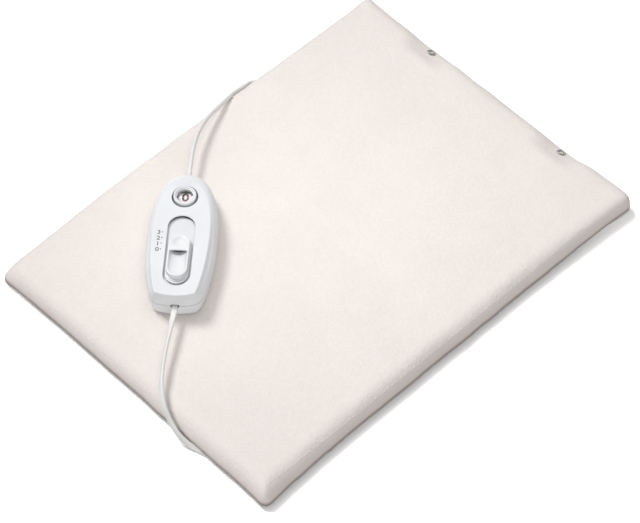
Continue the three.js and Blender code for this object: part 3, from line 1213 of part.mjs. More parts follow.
// Flat two-pin plug at the end of the cord
const plug = new THREE.Group();
plug.position.copy(coil.points.at(-1));
plug.rotation.z = COIL_END + Math.PI / 2;
part.add(plug);
const PLUG_BODY_START = PLUG_BOOT_LENGTH + 2 * CLEARANCE;
const PLUG_FACE = PLUG_BODY_START + PLUG_BODY_LENGTH;
const gripOf = (size) => size + 2 * PLUG_BOOT_GRIP;
add(plug, 'plug_boot', loft([
  crossRing(CLEARANCE, [gripOf(CORD_WIDTH), gripOf(CORD_THICKNESS)]),
  crossRing(CLEARANCE + PLUG_BOOT_LENGTH, PLUG_BOOT_END),
]), plugPlastic);
add(plug, 'plug_body', loft([
  crossRing(PLUG_BODY_START, PLUG_BACK),
  crossRing(PLUG_BODY_START + PLUG_WAIST[1], [PLUG_WAIST[0], PLUG_BODY_HEIGHT]),
  crossRing(PLUG_FACE - PLUG_FACE_LAND, [PLUG_BODY_WIDTH, PLUG_BODY_HEIGHT]),
  crossRing(PLUG_FACE, [PLUG_BODY_WIDTH, PLUG_BODY_HEIGHT]),
]), plugPlastic);
[1, -1].forEach((side, i) => {
  const pin = post(PLUG_PIN_DIAMETER, 0, PLUG_PIN_LENGTH).rotateY(Math.PI / 2);
  add(plug, `plug_pin_${i + 1}`,
    pin.translate(PLUG_FACE + CLEARANCE, side * PLUG_PIN_SPREAD / 2, 0), brass);
});

export default part;
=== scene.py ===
"""Looks of a fleece heating pad with a slide-switch controller and a flat mains cord.

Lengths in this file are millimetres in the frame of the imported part; meshes are made in metres.
"""
import math
from functools import cached_property

import bmesh
import bpy
import numpy as np
from mathutils import Matrix, Vector, noise
from mathutils.bvhtree import BVHTree
from mathutils.kdtree import KDTree


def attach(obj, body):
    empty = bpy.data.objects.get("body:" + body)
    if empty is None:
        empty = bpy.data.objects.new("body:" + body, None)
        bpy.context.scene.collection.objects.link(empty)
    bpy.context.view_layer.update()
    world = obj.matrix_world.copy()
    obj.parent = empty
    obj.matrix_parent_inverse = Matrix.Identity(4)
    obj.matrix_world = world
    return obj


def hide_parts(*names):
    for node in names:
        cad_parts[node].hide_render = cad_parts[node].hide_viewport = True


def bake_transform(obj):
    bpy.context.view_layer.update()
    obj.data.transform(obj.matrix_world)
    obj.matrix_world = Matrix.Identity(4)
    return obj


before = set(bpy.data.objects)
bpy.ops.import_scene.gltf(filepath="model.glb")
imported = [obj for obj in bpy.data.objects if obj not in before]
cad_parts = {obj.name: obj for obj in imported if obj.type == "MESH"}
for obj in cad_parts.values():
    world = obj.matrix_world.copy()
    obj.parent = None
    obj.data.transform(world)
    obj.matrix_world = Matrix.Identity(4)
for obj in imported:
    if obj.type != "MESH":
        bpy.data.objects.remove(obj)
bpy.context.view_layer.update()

MM = 0.001

# Camera, from the four corners of the pad in the photograph
CAMERA_PLACE = (-1108.063, -1249.342, 2234.860)
CAMERA_RIGHT = (0.72248, -0.69086, -0.02719)
CAMERA_UP = (0.56735, 0.56993, 0.59439)
CAMERA_FOCAL_PX = 3529.54
IMAGE_WIDTH_PX = 640
SENSOR_MM = 36.0
CAMERA_CLIP = (0.1, 50.0)

# Pad cover
PAD_LENGTH = 402.0
PAD_WIDTH = 302.0
PAD_THICKNESS = 21.0
PAD_CORNER = 6.0
FABRIC = 2.2
CROWN = 0.8
SEAM_HEIGHT = 9.0
NEAR_SEAM = 3.4
SEAM_FADE = (0.08, 0.6)
FOOT_INSET = 3.6
FOOT_FADE = (-0.3, 0.0)
FOOT_REACH = (2.0, 30.0)
FOOT_CORNER = (15.0, 40.0)
FULL_POWER = 3.4
FULL_ALONG = (90.0, 185.0)
FULL_ACROSS = (50.0, 140.0)
SEAM_GAP = 0.1
NEAR_ROLL = 14.0
ROLL_WIDTH = 11.0
ROLL_FADE = (-0.1, 0.5)
ROLL_POWER = 2.05
UNDER_ROLL = 5.0
UNDER_POWER = 2.2
SIDE_FADE = (10.0, 60.0)
FAR_BULGE = 1.4
FAR_BULGE_RISE = (-190.0, -110.0)
FAR_BULGE_FALL = (0.0, 110.0)
END_BULGE = 2.2
END_BULGE_RISE = (85.0, 115.0)
END_BULGE_EASE = (128.0, 151.0)
FAR_CORNER_IN = 1.6
FAR_CORNER_RISE = (90.0, 200.0)
NEAR_CORNER_SHIFT = 1.4
NEAR_CORNER_REACH = 40.0
LEFT_CORNER_FLAT = 0.38
LEFT_CORNER_REACH = 13.0
DRAW_IN_NEAR = 2.4
DRAW_IN_FAR = 0.8
DRAW_POWER = 6
LIP_LIFT = 4.2
LIP_SLOPE = 0.47
LIP_GAP = 1.9
LIP_WIDTH = 11.0
LIP_RIDGE = 26.0
LIP_GAPE = 0.12
LIP_CORNER = 24.0
PINCH_FLAT = 5.0
PINCH_REACH = 28.0
STUD_PLACES = (69.5, -77.5)
STUD_INSET = 5.0
STUD_X = 195.3
STUD_RADIUS = 2.75
STUD_WIRE = (0.75, 0.45)
STUD_LIFT = 0.75
INNER_LOW = 2.55
INNER_RIM = 9.0
INNER_TOP = 17.65
INNER_INSET = 4.0
INNER_END = 176.0
INNER_CORNER = 5.0
INNER_ROLL = 8.0
INNER_UNDER_ROLL = 6.0
STITCH_INSET = 6.5
STITCH_PITCH = 4.6
STITCH_START = 14.0
STITCH_END = 150.0
STITCH_SIZE = (1.3, 0.32, 0.3)
PILL_COUNT = 260
PILL_SEED = 7
PILL_INSET = 9.0
PILL_BAND = 22.0
PILL_REACH = (0.35, 0.75)
GRAIN_ROOM = 5.5
CASE_ROOM = 4.0
ENTRY_PLACE = (76.0, 150.6, 9.0)
ENTRY_HEADING = (0.8, -0.6, 0.0)

# Controller
CASE_PLACE = (-132.6, 18.9, 21.3)
CASE_TURN = math.radians(42.5)
CASE_LENGTH = 123.0
CASE_HALF_WIDTH = 28.0
CASE_WIDEST = 57.0
CASE_NEAR_REACH = 79.0
CASE_FAR_POWER = 2.3
CASE_END_BOW = 2.8
CASE_CORNER = 7.0
CASE_PARTING = 12.0
CASE_HEIGHT = 25.0
LEDGE_FADE = (35.0, 105.0)
RECESS_START = 8.0
RECESS_LENGTH = 67.45
RECESS_WIDTH = 21.4
RECESS_LEVEL = 22.0
SLIT = (30.45, 27.85, 5.6)
CORD_HOLES = (("near", 0.0, 7.0, 4.6), ("far", CASE_LENGTH, 3.6, 5.6))
CORD_HOLE_REACH = (-8.8, 8.8)
SCREW_PLACES = ((12, 13.5), (12, -13.5), (106, 9), (106, -9))
SCREW_HOLE = 3.0
FLANGE_START = 10.6
FLANGE_END = 57.0
FLANGE_WIDTH = 18.6
FLANGE_LOW = 22.3
FLANGE_TOP = 23.7
KNOB_START = 13.8
KNOB_END = 56.1
KNOB_WIDTH = 16.8
KNOB_TOP = 29.3
KNOB_RIDGE = 39.0
KNOB_ARC = 48
TROUGH_START = 15.6
TROUGH_RADIUS = 6.9
TROUGH_DEPTHS = (2.2, 5.5)
TROUGH_FACE = 0.6
RIDGE_BEVEL = 1.3
RIDGE_DROP = 0.8
HOLLOW_ROOF = 28.3
FAR_SLOPE = (41.0, 55.5)
FAR_DROP = 2.2
DISH_PLACE = 48.2
DISH_REACH = (6.2, 6.6)
DISH_DEPTH = 2.0
WINDOW_PLACE = 94.0
BEZEL_RADIUS = 9.0
MOAT_RADIUS = 10.4
MOAT_LEVEL = 21.2
BORE_RADIUS = 8.0
LENS_RADIUS = 6.2
LENS_LOW = 22.8
LENS_FOOT = 20.2
LENS_STEM = 5.9
LENS_APEX = 26.7
LENS_CURVE = 14.0
STRIP_LOW = 19.4
STRIP_TOP = 19.9
STRIP_NEAR = 73.55
STRIP_FAR = 98.7
STRIP_HALF = 4.5
DIGIT_PITCH = 5.75
FIGURE_PLACE = 95.5
FIGURE_HEIGHT = 4.4
FIGURE_DEPTH = 0.06
FIGURE_LIFT = 0.05
FIGURE_BOLD = 0.03
FIGURE_STRETCH = 1.1
NOUGHT_SIZE = (4.6, 6.2, 1.3)
PRINT_PITCH = 5.5
PRINT_START = 41.9
PRINT_SIDE = 17.2
PRINT_HEIGHT = 3.9
PRINT_DEPTH = 0.05
PRINT_LIFT = 0.03
PRINT_BOLD = 0.012
DOT_SIDE = 14.5
DOT_AHEAD = 0.3
DOT_RADIUS = 0.5
ROUND_SIDES = 96

# Flat twin cord
CORD_WIDTH = 4.8
CORD_THICKNESS = 2.8
CORD_STEP = 2.0
CORD_ROOM_ABOVE = 0.35
CORD_ROOM_BELOW = 0.3
CORD_SHOULDER = 4.0
CORD_WAIST = (0.1, 0.8)
HUMP_RISE = CORD_THICKNESS + 0.9
HUMP_REACH = 7.0
HUMP_FADE = (4.0, 14.0)
INNER_HUMP_RISE = CORD_THICKNESS + 0.7
INNER_HUMP_REACH = 8.0
INNER_HUMP_FADE = (2.0, 12.0)
COIL_CENTRE = (224.0, 236.0)
COIL_RADIUS = 35.0
COIL_START = math.radians(-10)
COIL_TURNS = 5 + 100 / 360
COIL_PITCH = 4.6
TURN_POINTS = 60
COIL_LOW = 3.8
COIL_HIGH = 9.3
COIL_CLIMB = 0.12
COIL_LEAD_IN = 24.0
COIL_TAIL = 27.0
PLUG_AXIS_HEIGHT = 7.3
TIE_ANGLE = math.radians(20)
TIE_ROOM = 0.5
TIE_CORNER = 1.1
TIE_SECTION = ((0.05, 2.95), (0.35, 3.0), (0.65, 2.95), (0.65, -2.95), (0.35, -3.0), (0.05, -2.95))
PLUG_BOOT = (0.3, 22.3)
PLUG_BOOT_WIDTH = (6.6, 11.0)
PLUG_BOOT_HEIGHT = (4.6, 9.3)
RIB_COUNT = 6
RIB_DEPTH = 0.13
PLUG_BODY_START = 22.6
PLUG_BODY_END = 58.6
PLUG_WIDTH = 35.0
PLUG_HEIGHT = 13.8
PIN_SPREAD = 9.3
ENTRY_BOOT = (0.3, 28.3)
ENTRY_WIDTH = (4.8, 9.0)
ENTRY_HEIGHT = (6.8, 7.6)

# Floor and light
FLOOR_SIZE = 8.0
FLOOR_DROP = 0.0001
FLOOR_TONE = 0.4
FLOOR_SEEN = 0.9
FLOOR_EXTRA = 0.8
WORLD_LEVEL = 0.38
KEY_LEVEL = 0.43
KEY_HEIGHT = math.radians(56)
KEY_BEARING = math.radians(92)
KEY_SPREAD = math.radians(19)
FILL_LEVEL = 0.042
FILL_HEIGHT = math.radians(9)
FILL_BEARING = math.radians(225)
FILL_SPREAD = math.radians(20)
LAMP_LEVEL = 0.27
LAMP_PLACE = (0.0, 0.045, 0.33)
LAMP_AIM = (0.0, 0.0, 0.02)
LAMP_SIZE = (0.22, 0.22)


# Small maths
def lerp(a, b, t):
    return a + (b - a) * t


def smooth(x, low, high):
    t = np.clip((np.asarray(x, float) - low) / (high - low), 0, 1)
    return t * t * (3 - 2 * t)


def unit(v):
    v = np.asarray(v, float)
    return v / np.maximum(np.linalg.norm(v, axis=-1, keepdims=True), 1e-12)


# Meshes
def placed(name, data):
    obj = bpy.data.objects.new(name, data)
    bpy.context.scene.collection.objects.link(obj)
    return obj


def new_object(name, points, faces):
    mesh = bpy.data.meshes.new(name)
    mesh.from_pydata((np.asarray(points, float) * MM).tolist(), [], faces)
    mesh.validate()
    clean(mesh)
    return placed(name, mesh)


def clean(mesh, merge=0.0):
    """Turns faces outward, after joining the points that lie within the merge distance."""
    made = bmesh.new()
    made.from_mesh(mesh)
    if merge:
        bmesh.ops.remove_doubles(made, verts=made.verts, dist=merge)
    bmesh.ops.recalc_face_normals(made, faces=made.faces)
    made.to_mesh(mesh)
    made.free()


def shade(obj, angle=35.0):
    mesh = obj.data
    mesh.polygons.foreach_set("use_smooth", [True] * len(mesh.polygons))
    mesh.set_sharp_from_angle(angle=math.radians(angle))
    return obj


def weighted(obj, angle=35.0):
    shade(obj, angle)
    normals = obj.modifiers.new("weighted", "WEIGHTED_NORMAL")
    normals.keep_sharp = True
    return obj


def applied(obj):
    """The object with its modifiers made part of its mesh."""
    made = obj.evaluated_get(bpy.context.evaluated_depsgraph_get())
    mesh = bpy.data.meshes.new_from_object(made)
    obj.modifiers.clear()
    old = obj.data
    obj.data = mesh
    mesh.name = obj.name
    bpy.data.meshes.remove(old)
    return obj


def carve(obj, *cutters):
    for cutter in cutters:
        cut = obj.modifiers.new("cut", "BOOLEAN")
        cut.operation = "DIFFERENCE"
        cut.solver = "EXACT"
        cut.object = cutter
    applied(obj)
    for cutter in cutters:
        bpy.data.objects.remove(cutter)
    return obj


def loft_faces(ring_count, count, capped=(True, True)):
    faces = []
    for a in range(0, (ring_count - 1) * count, count):
        for i in range(count):
            j = (i + 1) % count
            faces.append((a + i, a + j, a + count + j, a + count + i))
    if capped[0]:
        faces.append(tuple(range(count))[::-1])
    if capped[1]:
        faces.append(tuple(range((ring_count - 1) * count, ring_count * count)))
    return faces


def loft_shape(rings):
    return np.concatenate(rings), loft_faces(len(rings), len(rings[0]))


def loft(name, rings):
    return new_object(name, *loft_shape(rings))


def hoop_shape(rings):
    """Points and faces of a loft whose last ring is joined to its first."""
    count = len(rings[0])
    last = (len(rings) - 1) * count
    faces = loft_faces(len(rings), count, (False, False))
    faces += [(last + i, last + (i + 1) % count, (i + 1) % count, i) for i in range(count)]
    return np.concatenate(rings), faces


def joined(name, shapes):
    points, faces, count = [], [], 0
    for p, f in shapes:
        points.append(p)
        faces += [tuple(v + count for v in face) for face in f]
        count += len(p)
    return new_object(name, np.concatenate(points), faces)


def oval(along, across, place, sides):
    angle = np.arange(sides) * 2 * math.pi / sides
    return np.stack([along * np.cos(angle), across * np.sin(angle), np.zeros(sides)], 1) + place


def raised(uv, height):
    """A flat outline at one height, or with a height for each point."""
    return np.column_stack([uv, np.broadcast_to(height, len(uv))])


def turned(name, profile, sides=64, centre=(0, 0), closed=False):
    """A turned piece from radius and height pairs; closed joins the last pair to the first."""
    rings = [oval(r, r, (*centre, z), sides) for r, z in profile]
    return new_object(name, *hoop_shape(rings)) if closed else loft(name, rings)


CASE_MATRIX = Matrix.Translation(Vector(CASE_PLACE) * MM) @ Matrix.Rotation(CASE_TURN, 4, "Z")


def move_to_case(obj):
    obj.data.transform(CASE_MATRIX)
    return obj


def paint(obj, material):
    obj.data.materials.clear()
    obj.data.materials.append(material)


def fit(obj, material, body, slot, *nodes):
    """Paints a piece, puts it on its body and hides the solids that it stands for."""
    paint(obj, material)
    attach(obj, body)
    if nodes:
        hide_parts(*nodes)
    return obj


# Materials
class Nodes:
    """The shader nodes of a material or of the world."""

    def __init__(self, owner):
        owner.use_nodes = True
        self.owner = owner
        self.tree = owner.node_tree

    def fill(self, node, *inputs, **values):
        """Sets inputs, in order or by name, each to a number, a colour or another node's output."""
        named = [(node.inputs[key.replace("_", " ")], value) for key, value in values.items()]
        for socket, value in [*zip(node.inputs, inputs), *named]:
            if isinstance(value, bpy.types.NodeSocket):
                self.tree.links.new(value, socket)
            else:
                socket.default_value = (*value, 1) if isinstance(value, tuple) else value

    def add(self, kind, out, *inputs, **values):
        """An output of a new node. Names in small letters are its settings, the others its inputs."""
        node = self.tree.nodes.new("ShaderNode" + kind)
        for key in [key for key in values if key.islower()]:
            setattr(node, key, values.pop(key))
        self.fill(node, *inputs, **values)
        return node.outputs[out]

    @cached_property
    def place(self):
        return self.add("TexCoord", "Object")

    def noise(self, scale, detail=2.0, rough=0.5, distortion=0.0):
        return self.add(
            "TexNoise", "Fac", Vector=self.place, Scale=scale,
            Detail=detail, Roughness=rough, Distortion=distortion)

    def span(self, value, low, high, from_low=0.3, from_high=0.7):
        return self.add(
            "MapRange", "Result", Value=value,
            From_Min=from_low, From_Max=from_high, To_Min=low, To_Max=high)

    def mix(self, share, first, second, kind="MIX"):
        return self.add(
            "Mix", "Result", data_type="RGBA", blend_type=kind, Factor=share, A=first, B=second)

    def bump(self, height, distance, strength=1.0):
        return self.add("Bump", "Normal", Strength=strength, Distance=distance, Height=height)

    def seen(self):
        """1 for a ray from the camera, straight or by way of a mirror or glass, and 0 for other rays."""
        path = self.tree.nodes.new("ShaderNodeLightPath").outputs
        share = path["Is Camera Ray"]
        for name in ("Is Glossy Ray", "Is Transmission Ray"):
            share = self.add("Math", 0, share, path[name], operation="MAXIMUM")
        return share


def tinted(colour, share):
    return tuple(np.minimum(1.0, np.multiply(colour, share)).tolist())


def moulded(name, colour, rough, grain=900.0, depth=0.00002, vary=0.03, cloud=25.0, **values):
    """Moulded plastic or metal: slight clouding, a fine grain and a little change in gloss."""
    n = Nodes(bpy.data.materials.new(name))
    share = n.span(n.noise(cloud, 3), 0, 1)
    colour_out = n.mix(share, tinted(colour, 1 - vary), tinted(colour, 1 + vary))
    gloss = n.span(n.noise(cloud * 6, 2), rough * 0.88, rough * 1.12)
    bumps = n.bump(n.noise(grain, 2), depth)
    n.fill(n.tree.nodes["Principled BSDF"], Base_Color=colour_out, Roughness=gloss, Normal=bumps, **values)
    return n.owner


def fleece_material(name, colour, shade_colour, sheen=0.35, foot=False):
    """Brushed fleece: clumps of pile a few millimetres wide over fine fibres, with a soft sheen."""
    n = Nodes(bpy.data.materials.new(name))
    clumps, fibres, clouds, tints = (n.noise(*values) for values in FLEECE_NOISES)
    pile = n.add("Math", 0, fibres, FIBRE_SHARE, clumps, operation="MULTIPLY_ADD")
    tone = n.mix(n.span(pile, 0, 1, *PILE_RANGE), shade_colour, colour)
    hue = n.mix(n.span(tints, 0, 1, *TINT_RANGE), tinted(colour, PINK), colour)
    patch = n.mix(1.0, hue, n.mix(n.span(clouds, 0, 1), CLOUD_SHADE, WHITE), "MULTIPLY")
    colour_out = n.mix(0.5, tone, patch)
    # Painted shade: with foot set, the colour darkens by height above the floor, a pinker shade up to about
    # 14 mm and a dark painted contact shadow below about 8 mm.
    if foot:
        height = n.add("SeparateXYZ", "Z", n.place)
        for low, high, dark in FOOT_PAINTED_SHADES:
            painted_foot_shade = n.mix(n.span(height, 0, 1, low, high), dark, WHITE)
            colour_out = n.mix(1.0, colour_out, painted_foot_shade, "MULTIPLY")
    n.fill(
        n.tree.nodes["Principled BSDF"], Base_Color=colour_out, Normal=n.bump(pile, *PILE_BUMP),
        Roughness=n.span(pile, *PILE_ROUGH, *PILE_RANGE), Sheen_Weight=sheen, Sheen_Roughness=0.45,
        Specular_IOR_Level=0.15,
    )
    return n.owner


WHITE = (1, 1, 1)
CLOUD_SHADE = (0.96, 0.96, 0.96)
PINK = (0.985, 0.955, 0.965)
# Scale, detail, roughness and distortion of clumps, fibres, clouds and tints
FLEECE_NOISES = ((330, 3, 0.6, 0.4), (1500, 3, 0.65, 0.8), (38, 3, 0.55), (17, 2, 0.5))
FIBRE_SHARE = 0.5
PILE_RANGE = (0.45, 0.95)
PILE_ROUGH = (0.86, 1.0)
PILE_BUMP = (0.0009, 0.55)
TINT_RANGE = (0.38, 0.62)
FLEECE = (0.925, 0.872, 0.828)
# Painted shade at the foot of the cover: each colour is full below the first height and gone above the
# second, in metres; a pinker shade low on the sides and a dark painted contact shadow at the lower edge.
FOOT_PAINTED_SHADES = [(0.002, 0.014, (0.94, 0.85, 0.83)), (0.0052, 0.0086, (0.4, 0.385, 0.378))]
FLEECE_SHADE = (0.85, 0.782, 0.735)
# fleece carries the painted shade at the foot; fleece_under is the same cloth without it.
fleece = fleece_material("fleece", FLEECE, FLEECE_SHADE, foot=True)
fleece_under = fleece_material("fleece_under", FLEECE, FLEECE_SHADE)
# Painted shade: a dark grey for the pieces that stand for the shade in the recess, the window's moat and
# the knob's hollow.
painted_shade_dark = moulded("painted_shade_dark", (0.1, 0.1, 0.105), 0.6)
inner_cloth = fleece_material("inner_cloth", (0.9, 0.89, 0.86), (0.8, 0.79, 0.75), 0.15)
case_plastic = moulded("case_plastic", (0.765, 0.78, 0.8), 0.36)
knob_plastic = moulded("knob_plastic", (0.8, 0.81, 0.825), 0.34)
cord_plastic = moulded("cord_plastic", (0.8, 0.8, 0.785), 0.42, grain=500, vary=0.04)
plug_plastic = moulded("plug_plastic", (0.82, 0.82, 0.8), 0.4)
inner_plastic = moulded("inner_plastic", (0.62, 0.62, 0.6), 0.5)
strip_plastic = moulded("strip_plastic", (0.97, 0.88, 0.895), 0.5, cloud=120)
print_ink = moulded("print_ink", (0.12, 0.1, 0.1), 0.55, cloud=200, vary=0.15)
maroon_ink = moulded("maroon_ink", (0.045, 0.005, 0.009), 0.5, cloud=200, vary=0.15)
steel = moulded("steel", (0.3, 0.3, 0.29), 0.24, grain=700, depth=0.00001, Metallic=1.0)
brass = moulded("brass", (0.72, 0.55, 0.25), 0.3, grain=500, depth=0.00001, Metallic=1.0)
laminate = moulded("laminate", (0.03, 0.13, 0.06), 0.45, cloud=200, vary=0.12)
dark_part = moulded("dark_part", (0.03, 0.03, 0.033), 0.5, vary=0.12)
lamp_plastic = moulded("lamp_plastic", (0.5, 0.05, 0.06), 0.2, Transmission_Weight=0.4)
insulation = moulded("insulation", (0.45, 0.1, 0.05), 0.5, vary=0.1)
lens_plastic = moulded(
    "lens_plastic", (0.98, 0.95, 0.955), 0.015, depth=0.000001, vary=0.01,
    Transmission_Weight=1.0, IOR=1.42)
thread = moulded("thread", (0.86, 0.8, 0.765), 0.8, grain=2500, depth=0.0001)

# The hidden solids that are carried over
CARRIED = (
    (insulation, "heating_wire"),
    (case_plastic, "thermostat_1 thermostat_2"),
    (inner_plastic, "lead_splice slider_carriage fuse_link power_resistor cord_clamp_1 cord_clamp_2"),
    (laminate, "circuit_board"),
    (brass, "contact_rail_1 contact_rail_2 wiper_contact"),
    (lamp_plastic, "indicator_led"),
    (dark_part, "film_capacitor triac terminal_block_mains terminal_block_pad"),
    (steel, "detent_spring housing_screw_1 housing_screw_2 housing_screw_3 housing_screw_4"),
    (steel, "press_stud_a_socket press_stud_a_post press_stud_a_back_ring"),
    (steel, "press_stud_b_socket press_stud_b_post press_stud_b_back_ring"),
)
for material, names in CARRIED:
    for node in names.split():
        paint(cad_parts[node], material)


# Camera
def make_camera():
    data = bpy.data.cameras.new("camera")
    data.sensor_fit = "HORIZONTAL"
    data.sensor_width = SENSOR_MM
    data.lens = CAMERA_FOCAL_PX / IMAGE_WIDTH_PX * SENSOR_MM
    data.clip_start, data.clip_end = CAMERA_CLIP
    camera = placed("camera", data)
    right, up = Vector(CAMERA_RIGHT).normalized(), Vector(CAMERA_UP)
    back = right.cross(up).normalized()
    up = back.cross(right)
    turn = Matrix((right, up, back)).transposed().to_4x4()
    camera.matrix_world = Matrix.Translation(Vector(CAMERA_PLACE) * MM) @ turn
    bpy.context.scene.camera = camera


make_camera()


# Cord routes
def case_point(along, height=CASE_PLACE[2] + CASE_PARTING):
    return (
        CASE_PLACE[0] + along * math.cos(CASE_TURN),
        CASE_PLACE[1] + along * math.sin(CASE_TURN),
        height,
    )


UP = (0, 0, 1)
ON_EDGE = (-0.7, 0.65, 0.28)
MAINS_ROUTE = [
    (case_point(5.7), UP), (case_point(-3), UP), (case_point(-8), UP),
    ((-144.4, 9.2, 33.1), (-0.35, 0.3, 0.88)), ((-152, 3.6, 32.5), (-0.6, 0.55, 0.58)),
    ((-161.4, -3.4, 31.8), ON_EDGE), ((-171.4, -11.2, 30.9), ON_EDGE), ((-180.9, -19.3, 29.8), ON_EDGE),
    ((-188.9, -26.9, 28.4), (-0.75, 0.5, 0.42)), ((-194.5, -33.7, 26.4), (-0.75, 0.35, 0.55)),
    ((-198.4, -39.8, 23.3), (-0.75, 0.2, 0.62)), ((-200.5, -45.2, 19.4), (-0.85, 0.1, 0.5)),
    ((-201.7, -50.6, 15.2), (-0.92, 0, 0.4)), ((-202.6, -56.8, 11.2), (-0.95, 0, 0.3)),
    ((-202.3, -62.8, 7), (-0.9, 0, 0.42)), ((-201, -68.4, 3.9), (-0.75, 0, 0.65)),
    ((-198.9, -74.6, 2.3), (-0.4, 0, 0.9)),
    ((-195, -86, 1.65), UP), ((-187.5, -98.5, 1.65), UP), ((-176, -109.5, 1.65), UP),
    ((-162, -115.2, 1.65), UP), ((-147, -114, 1.65), UP), ((-132, -106, 1.65), UP),
    ((-92, -75.2, 1.65), UP), ((-40, -35, 1.65), UP), ((12, 5, 1.65), UP), ((64, 45.2, 1.65), UP),
    ((116, 85.3, 1.65), UP), ((160, 119.3, 1.65), UP), ((190, 142.4, 1.65), UP),
    ((206, 154.8, 1.65), UP), ((222, 167.2, 1.65), UP),
]
OUT_OF_CASE = (-math.sin(CASE_TURN), math.cos(CASE_TURN), 0)
INTO_PAD = (0.6, 0.8, 0)
OVER_EDGE = (-0.2, 1, 0)
ENTRY_START = tuple(np.array(ENTRY_PLACE) - 6 * np.array(ENTRY_HEADING))
LEAD_ROUTE = [
    (case_point(117.3), OUT_OF_CASE), (case_point(126), OUT_OF_CASE),
    ((-34.8, 108.3, 33.7), OUT_OF_CASE), ((-28, 114.2, 34.1), OUT_OF_CASE),
    ((-19.4, 121.2, 34.2), OUT_OF_CASE), ((-8.7, 128.8, 33.7), (-0.6, 0.8, 0)),
    ((3, 134.8, 32.2), (-0.45, 0.9, 0)), ((12.4, 138.6, 30.2), (-0.35, 0.93, 0)),
    ((22.6, 141.6, 27.6), (-0.3, 0.95, 0)), ((32.4, 144.4, 24.6), (-0.3, 0.95, 0)),
    ((41.4, 147.4, 21), OVER_EDGE), ((49.4, 150.6, 16.6), OVER_EDGE), ((56.6, 153, 12.5), OVER_EDGE),
    ((64, 154.3, 9.9), (0.1, 1, 0)), (ENTRY_START, INTO_PAD), (ENTRY_PLACE, INTO_PAD),
]


def smooth_route(places, step):
    """A curve through the places, as even points with the direction that the flat side faces."""
    p = np.array([place for place, _ in places], float)
    up = np.array([facing for _, facing in places], float)
    ends = np.concatenate([[2 * p[0] - p[1]], p, [2 * p[-1] - p[-2]]])
    fine, facing = [], []
    t = np.linspace(0, 1, 60, endpoint=False)[:, None]
    for i in range(len(p) - 1):
        a, b, c, d = ends[i:i + 4]
        k0, k1, k2 = (math.sqrt(np.linalg.norm(y - x)) for x, y in ((a, b), (b, c), (c, d)))
        m1 = ((b - a) / k0 - (c - a) / (k0 + k1) + (c - b) / k1) * k1
        m2 = ((c - b) / k1 - (d - b) / (k1 + k2) + (d - c) / k2) * k1
        fine.append(b + m1 * t + (3 * (c - b) - 2 * m1 - m2) * t ** 2 + (2 * (b - c) + m1 + m2) * t ** 3)
        facing.append(lerp(up[i], up[i + 1], t))
    fine = np.concatenate(fine + [p[-1:]])
    facing = np.concatenate(facing + [up[-1:]])
    return even(fine, facing, step)


def even(points, facing, step):
    along = np.concatenate([[0], np.cumsum(np.linalg.norm(np.diff(points, axis=0), axis=1))])
    at = np.linspace(0, along[-1], max(2, round(along[-1] / step) + 1))
    mixed = [np.stack([np.interp(at, along, v[:, k]) for k in range(3)], 1) for v in (points, facing)]
    return mixed[0], unit(mixed[1])


def bend(a, leaving, d, joining, facing_a, facing_d, count):
    """A curve between two places with their headings, and the way the flat side faces along it."""
    t = np.linspace(0, 1, count)[:, None]
    b, c = a + leaving, d - joining
    curve = (1 - t) ** 3 * a + 3 * (1 - t) ** 2 * t * b + 3 * (1 - t) * t * t * c + t ** 3 * d
    return curve, lerp(np.array(facing_a, float), np.array(facing_d, float), smooth(t, 0, 1))


def coil_point(turn):
    turn = np.asarray(turn, float)
    middle = COIL_TURNS / 2
    radius = COIL_RADIUS - COIL_PITCH * (middle - np.abs(turn - middle))
    angle = COIL_START + turn * 2 * math.pi
    height = lerp(COIL_LOW, COIL_HIGH, smooth(turn, middle - COIL_CLIMB, middle + COIL_CLIMB))
    outward = np.stack([np.cos(angle), np.sin(angle), 0 * angle], -1)
    middle_line = np.stack([0 * angle + COIL_CENTRE[0], 0 * angle + COIL_CENTRE[1], height], -1)
    return outward * radius[..., None] + middle_line, outward


def mains_path():
    run, facing = smooth_route(MAINS_ROUTE, CORD_STEP)
    heading = unit(run[-1] - run[-2])
    straight = run[-1] + heading * (CORD_WIDTH + 0.3)
    turns, turn_facing = coil_point(np.linspace(0, COIL_TURNS, round(COIL_TURNS * TURN_POINTS)))
    joining, leaving = np.cross(UP, turn_facing[0]), np.cross(UP, turn_facing[-1])
    approach, approach_facing = bend(
        straight, heading * COIL_LEAD_IN, turns[0], joining * COIL_LEAD_IN, UP, turn_facing[0], 24)
    plug_side = turns[-1] + leaving * COIL_TAIL
    plug_side[2] = PLUG_AXIS_HEIGHT
    third = leaving * COIL_TAIL / 3
    tail, tail_facing = bend(turns[-1], third, plug_side, third, turn_facing[-1], UP, 14)
    end = plug_side + leaving * CORD_WIDTH
    points = np.concatenate([run, approach[:-1], turns, tail[1:], [end]])
    facings = np.concatenate([facing, approach_facing[:-1], turn_facing, tail_facing[1:], [UP]])
    return points, unit(facings), leaving


def cord_section(count=20):
    """Two cores side by side in one flat sheath: a pill with a faint waist."""
    half, thick = CORD_WIDTH / 2, CORD_THICKNESS / 2
    offset = half - thick
    angle = (np.arange(count) + 0.5) * 2 * math.pi / count
    t = thick * np.cos(angle)
    w = thick * np.sin(angle) + offset * np.sign(np.sin(angle))
    waist = 1 - CORD_WAIST[0] * np.exp(-(w / CORD_WAIST[1]) ** 2)
    return t * waist, w


def cord_axes(points, facing):
    tangent = unit(np.gradient(points, axis=0))
    normal = unit(facing - tangent * (facing * tangent).sum(1, keepdims=True))
    return normal, np.cross(tangent, normal)


def tube(name, points, facing):
    normal, side = cord_axes(points, facing)
    t, w = cord_section()
    rings = [p + np.outer(t, n) + np.outer(w, b) for p, n, b in zip(points, normal, side)]
    return shade(loft(name, rings), 60)


